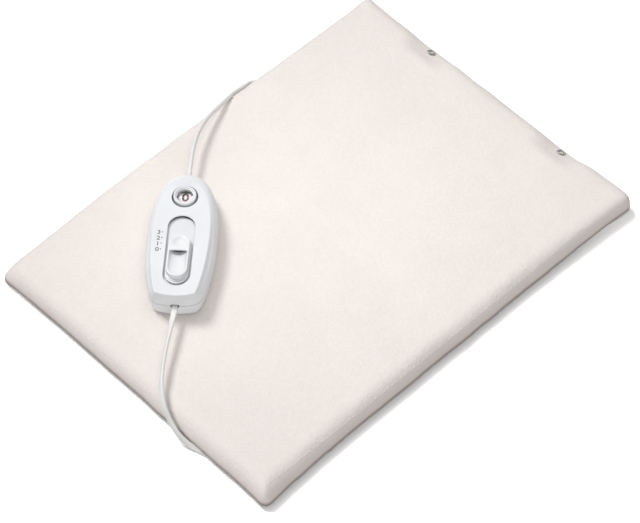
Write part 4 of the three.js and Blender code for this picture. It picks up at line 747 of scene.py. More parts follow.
mains_points, mains_facing, plug_heading = mains_path()
lead_points, lead_facing = smooth_route(LEAD_ROUTE, CORD_STEP)
mains_cord = tube("mains_cord", mains_points, mains_facing)
fit(mains_cord, cord_plastic, "pad", "cord", "mains_lead", "mains_coil")
lead_cord = tube("lead_cord", lead_points, lead_facing)
fit(lead_cord, cord_plastic, "pad", "cord", "pad_lead")


# Plug, its boot and the tie round the coil
def rounded_ring(x, width, height, power=4.0, count=48):
    angle = np.arange(count) * 2 * math.pi / count
    c, s = np.cos(angle), np.sin(angle)
    y = np.sign(c) * np.abs(c) ** (2 / power) * width / 2
    z = np.sign(s) * np.abs(s) ** (2 / power) * height / 2
    return np.stack([np.full(count, x), y, z], 1)


def laid(name, rings, start, along, angle):
    """A loft of rings that are turned to a level heading and moved to its start."""
    axes = np.array([along, np.cross(UP, along), UP])
    return shade(loft(name, [start + ring @ axes for ring in rings]), angle)


PLUG_PROFILE = [
    (0, 0.36, 0.62), (0.4, 0.42, 0.76), (1.2, 0.46, 0.82), (6, 0.56, 0.88), (12, 0.7, 0.94),
    (18, 0.83, 0.985), (24, 0.93, 1), (29, 0.985, 1), (32, 1, 1), (34.6, 1, 1),
    (35.6, 0.985, 0.965), (36, 0.95, 0.9),
]
PIN_PROFILE = [(0, 1.98), (0.2, 2.0), (17.2, 2.0), (18.2, 1.7), (18.8, 1.1), (19, 0.5)]


def plug_pieces():
    place = mains_points[-1], plug_heading
    boot_rings = []
    for share in np.linspace(0, 1, 67):
        wave = 0.5 - 0.5 * math.cos(2 * math.pi * share * RIB_COUNT)
        rib = 1 - RIB_DEPTH * wave * (0.08 < share < 0.92)
        width, height = (lerp(*ends, share ** 1.2) * rib for ends in (PLUG_BOOT_WIDTH, PLUG_BOOT_HEIGHT))
        boot_rings.append(rounded_ring(lerp(*PLUG_BOOT, share), width, height, 3.0))
    boot = laid("cord_boot", boot_rings, *place, 50)
    body_rings = [
        rounded_ring(PLUG_BODY_START + x, w * PLUG_WIDTH, h * PLUG_HEIGHT, 5.0) for x, w, h in PLUG_PROFILE
    ]
    body = laid("plug_shell", body_rings, *place, 40)
    pins = []
    for side, node in ((1, "plug_pin_1"), (-1, "plug_pin_2")):
        pin_rings = []
        for x, r in PIN_PROFILE:
            ring = rounded_ring(PLUG_BODY_END + 0.3 + x, 2 * r, 2 * r, 2.0, 32)
            ring[:, 1] += side * PIN_SPREAD
            pin_rings.append(ring)
        pin = laid(f"pin_{node[-1]}", pin_rings, *place, 40)
        fit(pin, brass, "pad", "brass", node)
        pins.append(pin)
    fit(boot, plug_plastic, "pad", "plug", "plug_boot")
    fit(body, plug_plastic, "pad", "plug", "plug_body")
    return [boot, body, *pins]


def coil_tie():
    first = (TIE_ANGLE - COIL_START) / (2 * math.pi)
    radii = np.linalg.norm(coil_point(first + np.arange(6))[0][:, :2] - np.array(COIL_CENTRE), axis=1)
    room = CORD_THICKNESS / 2 + TIE_ROOM
    low, high = COIL_LOW - CORD_WIDTH / 2 - TIE_ROOM, COIL_HIGH + CORD_WIDTH / 2 + TIE_ROOM
    inner, outer = radii.min() - room, radii.max() + room
    corner = TIE_CORNER
    right, left, foot, head = outer - corner, inner + corner, low + corner, high - corner
    centres = ((right, foot), (right, head), (left, head), (left, foot))
    angle = (np.linspace(-math.pi / 2, 0, 8) + np.arange(4)[:, None] * math.pi / 2).ravel()
    middle_r, middle_z = np.repeat(centres, 8, axis=0).T
    c, s = math.cos(TIE_ANGLE), math.sin(TIE_ANGLE)
    rings = []
    for grow, half in TIE_SECTION:
        r, z = middle_r + (corner + grow) * np.cos(angle), middle_z + (corner + grow) * np.sin(angle)
        rings.append(np.stack([COIL_CENTRE[0] + r * c - half * s, COIL_CENTRE[1] + r * s + half * c, z], 1))
    tie = new_object("coil_tie", *hoop_shape(rings))
    return fit(shade(tie, 40), dark_part, "pad", "dark_part", "cord_tie")


tie = coil_tie()
plug = plug_pieces()


# Pad cover: a grid of rings from the rim to the middle, pressed in where a cord lies on it
RIM_INSETS = [
    0, 0.08, 0.3, 0.7, 1.3, 2.1, 3.1, 4.3, 5.7, 7.3, 9.1, 11.1, 13.3, 15.6, 18, 20.5, 23, 25.6, 28.2,
]
GRID_STEP = 2.6


def ring_insets(half):
    steps = max(1, round((half - RIM_INSETS[-1]) / GRID_STEP))
    return np.concatenate([RIM_INSETS, np.linspace(RIM_INSETS[-1], half, steps + 1)[1:]])


def side_points(count, half, corner, inset, draw):
    """Along and outward places of a side's points, from the middle of one corner to the next."""
    radius = max(corner - inset, 0.0)
    straight, arc = 2 * (half - radius), math.pi * radius / 4
    d = np.linspace(-straight / 2 - arc, straight / 2 + arc, count + 1)
    past = np.maximum(np.abs(d) - straight / 2, 0)
    turn = past / max(radius, 1e-9)
    along = np.where(past > 0, np.sign(d) * (half - radius + radius * np.sin(turn)), d)
    out = radius * (np.cos(turn) - 1)
    if half > radius:
        share = np.clip(along / (half - radius), -1, 1)
        out -= draw * (1 - share ** DRAW_POWER) * (1 - smooth(inset, 20, 60))
    return along, out


def panel_grid(low, high, half, corner):
    """x, y and inset of a rounded rectangle's grid, and its faces."""
    insets = ring_insets(half)
    rings = len(insets) - 1
    rows = 2 * rings
    columns = rows + max(1, round((high - low - 2 * half) / GRID_STEP))
    x, y, s = (np.zeros((columns + 1, rows + 1)) for _ in range(3))
    middle, half_x = (low + high) / 2, (high - low) / 2
    for k, inset in enumerate(insets):
        long_count, short_count = columns - 2 * k, rows - 2 * k
        i = np.arange(k, columns - k + 1)
        for j, sign, draw in ((k, -1, DRAW_IN_NEAR), (rows - k, 1, DRAW_IN_FAR)):
            along, out = side_points(long_count, half_x - inset, corner, inset, draw)
            x[i, j], y[i, j], s[i, j] = middle + along, sign * (half - inset + out), inset
        if short_count > 0:
            j = np.arange(k, rows - k + 1)
            for i, sign, draw in ((k, -1, DRAW_IN_NEAR), (columns - k, 1, DRAW_IN_FAR)):
                along, out = side_points(short_count, half - inset, corner, inset, draw)
                x[i, j], y[i, j], s[i, j] = middle + sign * (half_x - inset + out), along, inset
    faces = [
        (i * (rows + 1) + j, (i + 1) * (rows + 1) + j, (i + 1) * (rows + 1) + j + 1, i * (rows + 1) + j + 1)
        for i in range(columns) for j in range(rows)
    ]
    return x.ravel(), y.ravel(), s.ravel(), faces


def roll(s, width, power=2.0):
    return (1 - np.clip((width - s) / width, 0, 1) ** power) ** (1 / power)


LIP_SKIN = FABRIC * math.hypot(1, LIP_SLOPE)
LIP_TOP = LIP_LIFT + 2 * LIP_SKIN + LIP_GAP
SHOULDER = PAD_THICKNESS - CROWN
SKIN = FABRIC - 0.2
HALF_LENGTH = PAD_LENGTH / 2
HALF_WIDTH = PAD_WIDTH / 2
SOFT_WAVES = [
    (0.14, 5.1, 2.3, 0.4), (0.12, -3.7, 6.1, 1.9), (0.09, 9.3, -7.7, 4.1), (0.07, 13.1, 12.2, 0.7),
]
SOFT_LUMPS = [(0.3, 26, 0.5), (0.16, 11, 7.5)]
EDGE_LUMPS = [(0.5, 17, 3.5)]
EDGE_WAVES = [(0.16, 7.3, 8.9, 0.3), (0.12, 15.1, -11.7, 2.2), (0.1, 22.0, 19.0, 1.1)]


def open_share(x, y):
    """How far a point belongs to the open end, which the studs pinch, rather than to a sewn side."""
    end, side = HALF_LENGTH - x, HALF_WIDTH - np.abs(y)
    from_stud = np.min([np.abs(y - place) for place in STUD_PLACES], axis=0)
    pinch = lerp(LIP_GAPE, 1.0, 1 - smooth(from_stud, PINCH_FLAT, PINCH_REACH))
    return pinch * smooth(side - PAD_CORNER, 0, LIP_CORNER) * smooth(side - end, 0, 12)


def waves(x, y, terms):
    return sum(a * np.sin(x * fx / 100 + y * fy / 100 + p) for a, fx, fy, p in terms)


def diagonal(x, y):
    """Below 0 on the two near sides and above 0 on the two far sides."""
    return 2 * x / PAD_LENGTH + 2 * y / PAD_WIDTH


def seam_height(x, y):
    """The seam runs halfway up the two far sides and drops to the foot of the two near sides."""
    return lerp(NEAR_SEAM, SEAM_HEIGHT, smooth(diagonal(x, y), *SEAM_FADE))


def fullness(x, y):
    """The shoulder is tighter at the near corner of the open end."""
    return lerp(ROLL_POWER, FULL_POWER, smooth(x, *FULL_ALONG) * smooth(-y, *FULL_ACROSS))


def lumps(x, y, terms):
    return sum(
        a * np.array([noise.noise((u / size, v / size, seed)) for u, v in zip(x, y)])
        for a, size, seed in terms
    )


def left_corner(x, y):
    return np.exp(-(np.hypot(x + HALF_LENGTH, y - HALF_WIDTH) / LEFT_CORNER_REACH) ** 2)


def top_height(x, y, s):
    crown = CROWN * smooth(s, ROLL_WIDTH, PAD_WIDTH / 3)
    width = lerp(NEAR_ROLL, ROLL_WIDTH, smooth(diagonal(x, y), *ROLL_FADE))
    rim = lerp(seam_height(x, y) + SEAM_GAP / 2, SHOULDER, roll(s, width, fullness(x, y)))
    lip = lerp(LIP_TOP + LIP_SLOPE * s, SHOULDER, smooth(s, LIP_WIDTH, LIP_RIDGE))
    soft = waves(x, y, SOFT_WAVES) + lumps(x, y, SOFT_LUMPS)
    height = lerp(rim, lip, open_share(x, y)) + crown + soft * smooth(s, 1, 9)
    return lerp(height, seam_height(x, y) + SEAM_GAP / 2, LEFT_CORNER_FLAT * left_corner(x, y))


def under_height(x, y, s):
    rim = (seam_height(x, y) - SEAM_GAP / 2) * (1 - roll(s, UNDER_ROLL, UNDER_POWER))
    lip = (LIP_LIFT + LIP_SLOPE * s) * (1 - smooth(s, LIP_WIDTH, LIP_RIDGE))
    return lerp(rim, lip, open_share(x, y)) + 0.02


def cord_tree(points):
    tree = KDTree(len(points))
    for i, p in enumerate(points):
        tree.insert(p, i)
    tree.balance()
    return tree


CORDS = []
for line, facing in ((mains_points, mains_facing), (lead_points, lead_facing)):
    CORDS.append((line, *cord_axes(line, facing), cord_tree(line)))


def clear_of_cords(points, inward, room, soft):
    """Moves points along their inward directions until each cord has room, with a soft shoulder."""
    points = points.copy()
    pill_half = (CORD_WIDTH - CORD_THICKNESS) / 2
    for line, normal, side, tree in CORDS:
        for k in range(len(points)):
            for _ in range(6):
                _, i, away = tree.find(points[k])
                if away > CORD_WIDTH + soft:
                    break
                off = points[k] - line[i]
                t, w = off @ normal[i], off @ side[i]
                gap = math.hypot(t, max(0.0, abs(w) - pill_half)) - CORD_THICKNESS / 2
                if gap >= room:
                    break
                points[k] += inward[k] * max(0.15, 0.6 * (room - gap))
    return points


def grid_normals(points, faces):
    f = np.array(faces)
    n = np.cross(points[f[:, 2]] - points[f[:, 0]], points[f[:, 3]] - points[f[:, 1]])
    out = np.zeros_like(points)
    for c in range(4):
        np.add.at(out, f[:, c], n)
    return unit(out)


def closed_grid(name, outside, inside, faces):
    """A closed piece from two grids with the same faces, joined along their rim."""
    count = len(outside)
    edges = dict.fromkeys((a, b) for f in faces for a, b in zip(f, f[1:] + f[:1]))
    walls = [(b, a, a + count, b + count) for a, b in edges if (b, a) not in edges]
    back = [tuple(v + count for v in reversed(f)) for f in faces]
    return new_object(name, np.concatenate([outside, inside]), faces + back + walls)


def finer(obj):
    surface = obj.modifiers.new("finer", "SUBSURF")
    surface.levels = surface.render_levels = 1
    surface.boundary_smooth = "PRESERVE_CORNERS"
    return applied(obj)


def hump(points, reach):
    """How far the underside rises over the cord that the pad lies on."""
    line, _, _, tree = CORDS[0]
    rise = np.zeros(len(points))
    for k, p in enumerate(points):
        _, i, away = tree.find((p[0], p[1], CORD_THICKNESS / 2))
        if line[i][2] < CORD_THICKNESS:
            rise[k] = 1 - smooth(away, CORD_WIDTH / 2 + 0.8, CORD_WIDTH / 2 + reach)
    return rise


def shaped_rim(x, y, s):
    """Plan of the cover: uneven edges, two bulging sides, and corners moved as in the photograph."""
    edge = waves(x, y, EDGE_WAVES) + lumps(x, y, EDGE_LUMPS)
    edge *= 0.7 * (1 - smooth(s, 4, 30))
    px = x + np.sign(x) * (np.abs(x) > HALF_LENGTH - SIDE_FADE[1]) * edge
    py = y + np.sign(y) * (np.abs(y) > HALF_WIDTH - SIDE_FADE[1]) * edge
    end_side = 1 - smooth(HALF_LENGTH - x, *SIDE_FADE)
    px += end_side * END_BULGE * smooth(-y, *END_BULGE_RISE) * (1 - 0.4 * smooth(-y, *END_BULGE_EASE))
    near = np.exp(-(np.hypot(x + HALF_LENGTH, y + HALF_WIDTH) / NEAR_CORNER_REACH) ** 2)
    px += NEAR_CORNER_SHIFT * near
    py -= NEAR_CORNER_SHIFT * near
    far_side = 1 - smooth(HALF_WIDTH - y, *SIDE_FADE)
    bulge = FAR_BULGE * smooth(x, *FAR_BULGE_RISE) * (1 - smooth(x, *FAR_BULGE_FALL))
    py += far_side * (bulge - FAR_CORNER_IN * smooth(x, *FAR_CORNER_RISE))
    return px, py


def make_cover():
    x, y, s, faces = panel_grid(-HALF_LENGTH, HALF_LENGTH, HALF_WIDTH, PAD_CORNER)
    px, py = shaped_rim(x, y, s)
    top = np.stack([px, py, top_height(x, y, s)], 1)
    normals = grid_normals(top, faces)
    normals *= np.sign(normals[:, 2:].sum())
    down = unit(-normals - np.array(UP) * 0.4)
    top = clear_of_cords(top, down, CORD_ROOM_ABOVE, CORD_SHOULDER)
    normals = grid_normals(top, faces)
    cover = finer(closed_grid("fleece_cover", top, top - normals * SKIN, faces))
    shade(cover, 60)
    low = np.stack([px, py, under_height(x, y, s)], 1)
    foot = FOOT_INSET * (1 - smooth(diagonal(x, y), *FOOT_FADE)) * (1 - smooth(s, *FOOT_REACH))
    low[:, 0] += foot * (1 - smooth(HALF_LENGTH + x, *FOOT_CORNER))
    low[:, 1] += foot * (1 - smooth(HALF_WIDTH + y, *FOOT_CORNER))
    low[:, 2] += hump(low, HUMP_REACH) * HUMP_RISE * smooth(s, *HUMP_FADE)
    inward = unit(np.stack([-x / PAD_LENGTH, -y / PAD_WIDTH, np.full(len(x), 0.35)], 1))
    low = clear_of_cords(low, inward, CORD_ROOM_BELOW, CORD_SHOULDER)
    normals = grid_normals(low, faces)
    base = finer(closed_grid("fleece_base", low, low + normals * SKIN, faces))
    shade(base, 60)
    return cover, base


cover, base = make_cover()
paint(cover, fleece)
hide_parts("cover_top", "cover_flap")
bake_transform(cover)
fit(base, fleece_under, "pad", "fleece", "cover_bottom")


cover_tree = BVHTree.FromObject(cover, bpy.context.evaluated_depsgraph_get())


def on_cover(x, y):
    """Place and outward direction of the cover's top at x, y."""
    place, normal, _, _ = cover_tree.ray_cast(Vector((x, y, 60)) * MM, Vector((0, 0, -1)))
    return np.array(place) / MM, np.array(normal)


def grain(place, along, normal, reach, sides=8):
    """A small rounded grain of thread or pile that lies half sunk in the cover."""
    axes = np.array([np.cross(normal, along), normal, along])
    rings = []
    for t, r in ((-1, 0.25), (-0.82, 0.7), (-0.4, 1), (0.4, 1), (0.82, 0.7), (1, 0.25)):
        rings.append(place + oval(reach[1] * r, reach[2] * r, (0, 0, reach[0] * t), sides) @ axes)
    return loft_shape(rings)


def clear_of_cord_lines(place):
    return min(tree.find(place)[2] for _, _, _, tree in CORDS) > GRAIN_ROOM


def beside_case(place):
    c, s = math.cos(CASE_TURN), math.sin(CASE_TURN)
    dx, dy = place[0] - CASE_PLACE[0], place[1] - CASE_PLACE[1]
    u, v = dx * c + dy * s, dy * c - dx * s
    return not (-CASE_ROOM < u < CASE_LENGTH + CASE_ROOM and abs(v) < CASE_HALF_WIDTH + CASE_ROOM)


def make_stitches():
    spots = []
    for y in np.arange(-HALF_WIDTH + STITCH_START, HALF_WIDTH - STITCH_START, STITCH_PITCH):
        spots.append((-HALF_LENGTH + STITCH_INSET, y, (0, 1, 0)))
    for x in np.arange(-HALF_LENGTH + STITCH_START, STITCH_END, STITCH_PITCH):
        spots.append((x, -HALF_WIDTH + STITCH_INSET, (1, 0, 0)))
        spots.append((x, HALF_WIDTH - STITCH_INSET, (1, 0, 0)))
    shapes = []
    for x, y, along in spots:
        place, normal = on_cover(x, y)
        if clear_of_cord_lines(place):
            along = unit(np.array(along) - normal * (normal @ np.array(along)))
            shapes.append(grain(place, along, normal, STITCH_SIZE))
    fit(shade(joined("hem_stitches", shapes), 60), thread, "pad", "fleece")


def make_pills():
    rng = np.random.default_rng(PILL_SEED)
    low, high = -HALF_WIDTH + PILL_INSET, HALF_WIDTH - PILL_INSET
    shapes = []
    for _ in range(PILL_COUNT):
        x = rng.uniform(-HALF_LENGTH + PILL_INSET, STITCH_END)
        y = rng.uniform(low, high)
        if rng.random() < 0.5:
            y = low + PILL_BAND * rng.random() ** 2
        turn, long = rng.uniform(0, math.pi), rng.uniform(*PILL_REACH)
        place, normal = on_cover(x, y)
        if clear_of_cord_lines(place) and beside_case(place):
            along = unit(np.cross(normal, (math.sin(turn), math.cos(turn), 0.3)))
            shapes.append(grain(place, along, normal, (long, long * 0.6, long * 0.4), 6))
    fit(shade(joined("fleece_pills", shapes), 60), fleece, "pad", "fleece")


make_stitches()
make_pills()


def make_inner_pad():
    low, half = -HALF_LENGTH + INNER_INSET, HALF_WIDTH - INNER_INSET
    x, y, s, faces = panel_grid(low, INNER_END, half, INNER_CORNER)
    top = np.stack([x, y, lerp(INNER_RIM, INNER_TOP, roll(s, INNER_ROLL))], 1)
    top[:, 2] = lerp(top[:, 2], INNER_RIM, np.minimum(1, 1.3 * left_corner(x, y)))
    under = np.stack([x, y, lerp(INNER_RIM, INNER_LOW, roll(s, INNER_UNDER_ROLL))], 1)
    under[:, 2] += hump(under, INNER_HUMP_REACH) * INNER_HUMP_RISE * smooth(s, *INNER_HUMP_FADE)
    under[:, 2] = np.minimum(under[:, 2], top[:, 2] - 0.05 * (s > 0))
    obj = closed_grid("inner_pad", top, under, faces)
    clean(obj.data, 1e-6)
    return shade(obj, 60)


inner_pad = make_inner_pad()
fit(inner_pad, inner_cloth, "pad", "wadding", "upper_wadding", "lower_wadding", "wire_carrier")


# Controller housing
def case_outline(inset, far_inset, end_inset):
    half = CASE_HALF_WIDTH - inset
    far = CASE_LENGTH - CASE_WIDEST - far_inset
    corner = max(CASE_CORNER - inset, 1.5)
    near_angle = math.acos((CASE_WIDEST - end_inset - corner) / CASE_NEAR_REACH)
    edge = half * math.sqrt(1 - ((CASE_WIDEST - end_inset) / CASE_NEAR_REACH) ** 2)

    def bow(v):
        return end_inset - CASE_END_BOW * (1 - (v / edge) ** 2)

    blunt = 2 / CASE_FAR_POWER
    angle = np.linspace(0, math.pi / 2, 37)[:-1]
    side = [np.stack([CASE_WIDEST + far * np.cos(angle) ** blunt, half * np.sin(angle) ** blunt], 1)]
    angle = np.linspace(math.pi / 2, near_angle, 25)
    side.append(np.stack([CASE_WIDEST - CASE_NEAR_REACH * np.cos(angle), half * np.sin(angle)], 1))
    last, flat = side[-1][-1], np.array([bow(edge - corner), edge - corner])
    t = np.linspace(0, 1, 11)[1:, None]
    side.append((1 - t) ** 2 * last + 2 * (1 - t) * t * np.array([bow(edge), edge]) + t * t * flat)
    v = np.linspace(edge - corner, 0, 9)[1:]
    side.append(np.stack([bow(v), v], 1))
    side = np.concatenate(side)
    return np.concatenate([side, side[1:-1][::-1] * [1, -1]])


def case_ring(near, far, inset, far_inset, end_inset):
    uv = case_outline(inset, far_inset, end_inset)
    return raised(uv, lerp(near, far, smooth(uv[:, 0], *LEDGE_FADE)))


def rounded_profile(corners, cuts, steps=5):
    """Ring values along a profile, with each corner that has a cut turned into a small curve."""
    p = [np.array(c, float) for c in corners]
    made = []
    for i, cut in enumerate(cuts):
        if not cut:
            made.append(p[i])
            continue
        before, after = p[i - 1] - p[i], p[i + 1] - p[i]
        reach = [min(0.48, cut / math.hypot(d[0], d[2])) for d in (before, after)]
        a, b = p[i] + before * reach[0], p[i] + after * reach[1]
        for t in np.linspace(0, 1, steps):
            made.append((1 - t) ** 2 * a + 2 * (1 - t) * t * p[i] + t * t * b)
    return made


TOP_PROFILE = [
    (25, 25, 8.5, 15.5, 4), (25, 25, 5.6, 12.6, 1), (21.4, 23.6, 3.4, 8.5, 0.7), (20.4, 21, 2, 4.6, 0.5),
    (18, 17.2, 0.7, 1.6, 0.3), (12.25, 12.25, 0, 0, 0), (12.25, 12.25, 2.2, 2.2, 2.2),
    (17, 16.5, 2.9, 3.2, 2.5), (20.4, 20.4, 6.8, 6.2, 4),
]
TOP_CUTS = [0, 0.7, 0.8, 1.1, 2.2, 0.25, 0, 0, 0]
BOTTOM_PROFILE = [
    (0, 0, 8, 8, 4), (0, 0, 5.5, 5.5, 1.4), (1.2, 1.2, 2.9, 2.9, 0.5), (4, 4, 1, 1, 0.1),
    (8, 8, 0.2, 0.2, 0), (11.75, 11.75, 0, 0, 0), (11.75, 11.75, 2.2, 2.2, 2.2), (8, 8, 2.4, 2.4, 2.2),
    (4, 4, 3.2, 3.2, 2.3), (2.2, 2.2, 5.5, 5.5, 2.7),
]
BOTTOM_CUTS = [0, 1.2, 1.5, 1.5, 1.5, 0.25, 0, 0, 0, 0]
RECESS_PROFILE = [
    (RECESS_LEVEL, 1.3), (RECESS_LEVEL + 0.2, 1.5), (23.7, 1.5), (24.0, 1.3), (24.06, 0), (24.4, 0),
    (24.66, 0.06), (24.87, 0.2), (25.0, 0.45), (26.5, 1.95),
]
# Heights and outward growth of the dark painted shade strip round the recess's floor.
RECESS_SHADE_PROFILE = [
    (22.06, 0.2), (22.06, 1.3), (22.2, 1.42), (23.6, 1.42), (23.6, 1.28), (22.22, 1.28), (22.2, 0.2),
]
MOAT_PROFILE = [(MOAT_LEVEL, 0), (24.6, 0), (24.85, 0.08), (25.0, 0.3), (26.5, 1.5)]


def case_shell(name, corners, cuts):
    rings = [case_ring(*values) for values in rounded_profile(corners, cuts)]
    return loft(name, rings)


def pill_outline(start, length, width, arc=23, share=(0, 1)):
    """A pill from above, with points along its straight sides at shares of their length."""
    radius = width / 2
    first, last = start + radius, start + length - radius
    angle = np.linspace(-math.pi / 2, math.pi / 2, arc, endpoint=False)
    turn = radius * np.stack([np.cos(angle), np.sin(angle)], 1)
    side = lerp(first, last, np.asarray(share, float))
    level = np.full(len(side) - 1, radius)
    return np.concatenate([
        [last, 0] + turn, np.stack([side[:0:-1], level], 1),
        [first, 0] - turn, np.stack([side[:-1], -level], 1),
    ])


def pill_ring(start, length, width, height, grow=0.0):
    return raised(pill_outline(start - grow, length + 2 * grow, width + 2 * grow), height)


def recess_rings(profile):
    return [pill_ring(RECESS_START, RECESS_LENGTH, RECESS_WIDTH, w, grow) for w, grow in profile]


def at_window(name, profile, closed=False):
    return turned(name, profile, ROUND_SIDES, (WINDOW_PLACE, 0), closed)


def cord_cutters():
    made = []
    for name, along, width, height in CORD_HOLES:
        ring = rounded_ring(along, width, height, 3.0, 32) + np.array([0, 0, CASE_PARTING])
        made.append(loft(f"hole_{name}", [ring + np.array([x, 0, 0]) for x in CORD_HOLE_REACH]))
    return made


def top_cutters():
    return [
        loft("recess", recess_rings(RECESS_PROFILE)),
        at_window("moat", [(MOAT_RADIUS + grow, w) for w, grow in MOAT_PROFILE]),
        at_window("bore", [(BORE_RADIUS, 15), (BORE_RADIUS, 24)]),
        loft("slit", [pill_ring(*SLIT, w) for w in (15, 23)]),
        *cord_cutters(),
    ]


def make_housing():
    top = case_shell("case_top", TOP_PROFILE, TOP_CUTS)
    carve(top, *top_cutters())
    weighted(move_to_case(top), 30)
    fit(top, case_plastic, "pad", "case_plastic", "top_housing")
    bottom = case_shell("case_bottom", BOTTOM_PROFILE, BOTTOM_CUTS)
    screws = [
        turned(f"screw_hole_{i}", [(SCREW_HOLE, -1), (SCREW_HOLE, 2.6)], 32, place)
        for i, place in enumerate(SCREW_PLACES)
    ]
    carve(bottom, *cord_cutters(), *screws)
    weighted(move_to_case(bottom), 30)
    fit(bottom, case_plastic, "pad", "case_plastic", "bottom_housing")


make_housing()


def make_linings():
    """Dark pieces of painted shade: a strip round the foot of the slide's recess and a ring down in the
    window's moat.
    """
    recess_shade = new_object("recess_painted_shade", *hoop_shape(recess_rings(RECESS_SHADE_PROFILE)))
    near, far = BEZEL_RADIUS + 0.05, MOAT_RADIUS - 0.05
    moat = [(near, 23.0), (far, 23.0), (far, 23.3), (near, 23.3)]
    ring = at_window("window_painted_shade", moat, True)
    for piece in (recess_shade, ring):
        fit(shade(move_to_case(piece), 40), painted_shade_dark, "pad", "dark_part")


make_linings()


# Window
BEZEL_PROFILE = [
    (5.9, 21.8), (7.7, 21.8), (7.7, 23.2), (BEZEL_RADIUS, 23.2), (BEZEL_RADIUS, 26.5), (8.93, 26.76),
    (8.74, 26.94), (8.5, 27.0), (7.75, 27.0), (7.58, 26.93), (7.48, 26.76), (7.42, 26.3), (7.32, 26.12),
    (7.12, 26.05), (6.7, 26.05), (6.52, 25.98), (6.43, 25.8), (6.4, 25.4), (6.4, 22.5), (5.9, 22.5),
]


def make_window():
    bezel = at_window("window_ring", BEZEL_PROFILE, True)
    fit(weighted(move_to_case(bezel), 50), case_plastic, "pad", "case_plastic", "window_bezel")
    radii = np.linspace(LENS_RADIUS - 0.15, 0.2, 20)
    dome = [(r, LENS_APEX - LENS_CURVE + math.sqrt(LENS_CURVE ** 2 - r * r)) for r in radii]
    lens = at_window("window_glass", [
        (0.2, LENS_FOOT), (LENS_STEM - 0.1, LENS_FOOT), (LENS_STEM, LENS_FOOT + 0.1),
        (LENS_STEM, LENS_LOW), (LENS_RADIUS - 0.1, LENS_LOW), (LENS_RADIUS, LENS_LOW + 0.1),
        (LENS_RADIUS, dome[0][1] - 0.1), *dome,
    ])
    fit(shade(move_to_case(lens), 40), lens_plastic, "pad", "lens", "window_lens")


make_window()


def figure_shape(name, text, height, place, depth, bold):
    """A generic figure as a thin raised print, upright towards the far end of the controller."""
    data = bpy.data.curves.new(name, "FONT")
    data.body = text
    data.size = 1.0
    data.align_x = "CENTER"
    data.align_y = "CENTER"
    data.offset = bold
    data.extrude = 0.5
    obj = bpy.data.objects.new(name, data)
    mesh = bpy.data.meshes.new_from_object(obj)
    bpy.data.objects.remove(obj)
    bpy.data.curves.remove(data)
    points = np.array([v.co for v in mesh.vertices])
    low, high = points.min(0), points.max(0)
    scale = height / (high[1] - low[1])
    points = (points - (low + high) / 2) * [scale * FIGURE_STRETCH, scale, depth]
    spun = np.stack([points[:, 1], -points[:, 0], points[:, 2]], 1)
    faces = [tuple(f.vertices) for f in mesh.polygons]
    bpy.data.meshes.remove(mesh)
    return spun + np.array(place), faces


def disc(radius, place, depth, sides=20):
    heights = (-depth / 2, depth / 2)
    return loft_shape([oval(radius, radius, np.add(place, (0, 0, z)), sides) for z in heights])


def nought(wide, tall, stroke, place, depth, sides=48):
    rings = []
    for inset, z in ((0, -depth / 2), (0, depth / 2), (stroke, depth / 2), (stroke, -depth / 2)):
        rings.append(oval(tall / 2 - inset, wide / 2 - inset, np.add(place, (0, 0, z)), sides))
    return hoop_shape(rings)


# Slider knob, number strip and printed scale
def knob_height(u, v):
    """A deep U-shaped trough in front of a ridge, and a round dish in the slope behind it."""
    centre = TROUGH_START + TROUGH_RADIUS
    away = np.hypot(np.minimum(u - centre, 0), v) / TROUGH_RADIUS
    bowl = np.clip(1 - away ** 2, 0, 1) ** 0.5
    depth = lerp(*TROUGH_DEPTHS, np.clip((u - TROUGH_START) / (KNOB_RIDGE - TROUGH_START), 0, 1))
    bevel = RIDGE_DROP * np.clip((KNOB_RIDGE + RIDGE_BEVEL - u) / RIDGE_BEVEL, 0, 1) ** 1.5
    trough = bowl * (bevel + (depth - RIDGE_DROP) * smooth((KNOB_RIDGE - u) / TROUGH_FACE, 0, 1))
    away = np.hypot((u - DISH_PLACE) / DISH_REACH[0], v / DISH_REACH[1])
    dish = DISH_DEPTH * (1 - smooth(away, 0.25, 1.0))
    return KNOB_TOP - trough - FAR_DROP * smooth(u, *FAR_SLOPE) - dish


FLANGE_PROFILE = [
    (2.5, FLANGE_LOW), (0.1, FLANGE_LOW), (0, FLANGE_LOW + 0.15), (0, FLANGE_TOP - 0.35),
    (0.06, FLANGE_TOP - 0.1), (0.18, FLANGE_TOP), (0.48, FLANGE_TOP + 0.05), (0.52, FLANGE_TOP + 0.5),
    (0.58, FLANGE_TOP + 0.62), (0.94, FLANGE_TOP + 0.66), (0.99, FLANGE_TOP + 0.75),
]
KNOB_EDGE = [(0, 0.75), (0.06, 0.45), (0.2, 0.2), (0.42, 0.05)]
KNOB_INSETS = [0.7, 1.0, 1.3, 1.7, 2.1, 2.6, 3.1, 3.7, 4.3, 4.9, 5.5, 6.1, 6.7, 7.2, 7.7, 8.1, 8.35]
HOLLOW_RINGS = [(-1.2, 1.0), (0.2, 1.0), (1.4, 0.97), (2.6, 0.9), (3.6, 0.76), (4.2, 0.55)]
# Rings of the dark painted shade piece just inside the faces of the knob's hollow.
HOLLOW_SHADE_RINGS = [(1.2, 0.96), (1.4, 0.955), (2.6, 0.885), (3.6, 0.745), (4.1, 0.575)]


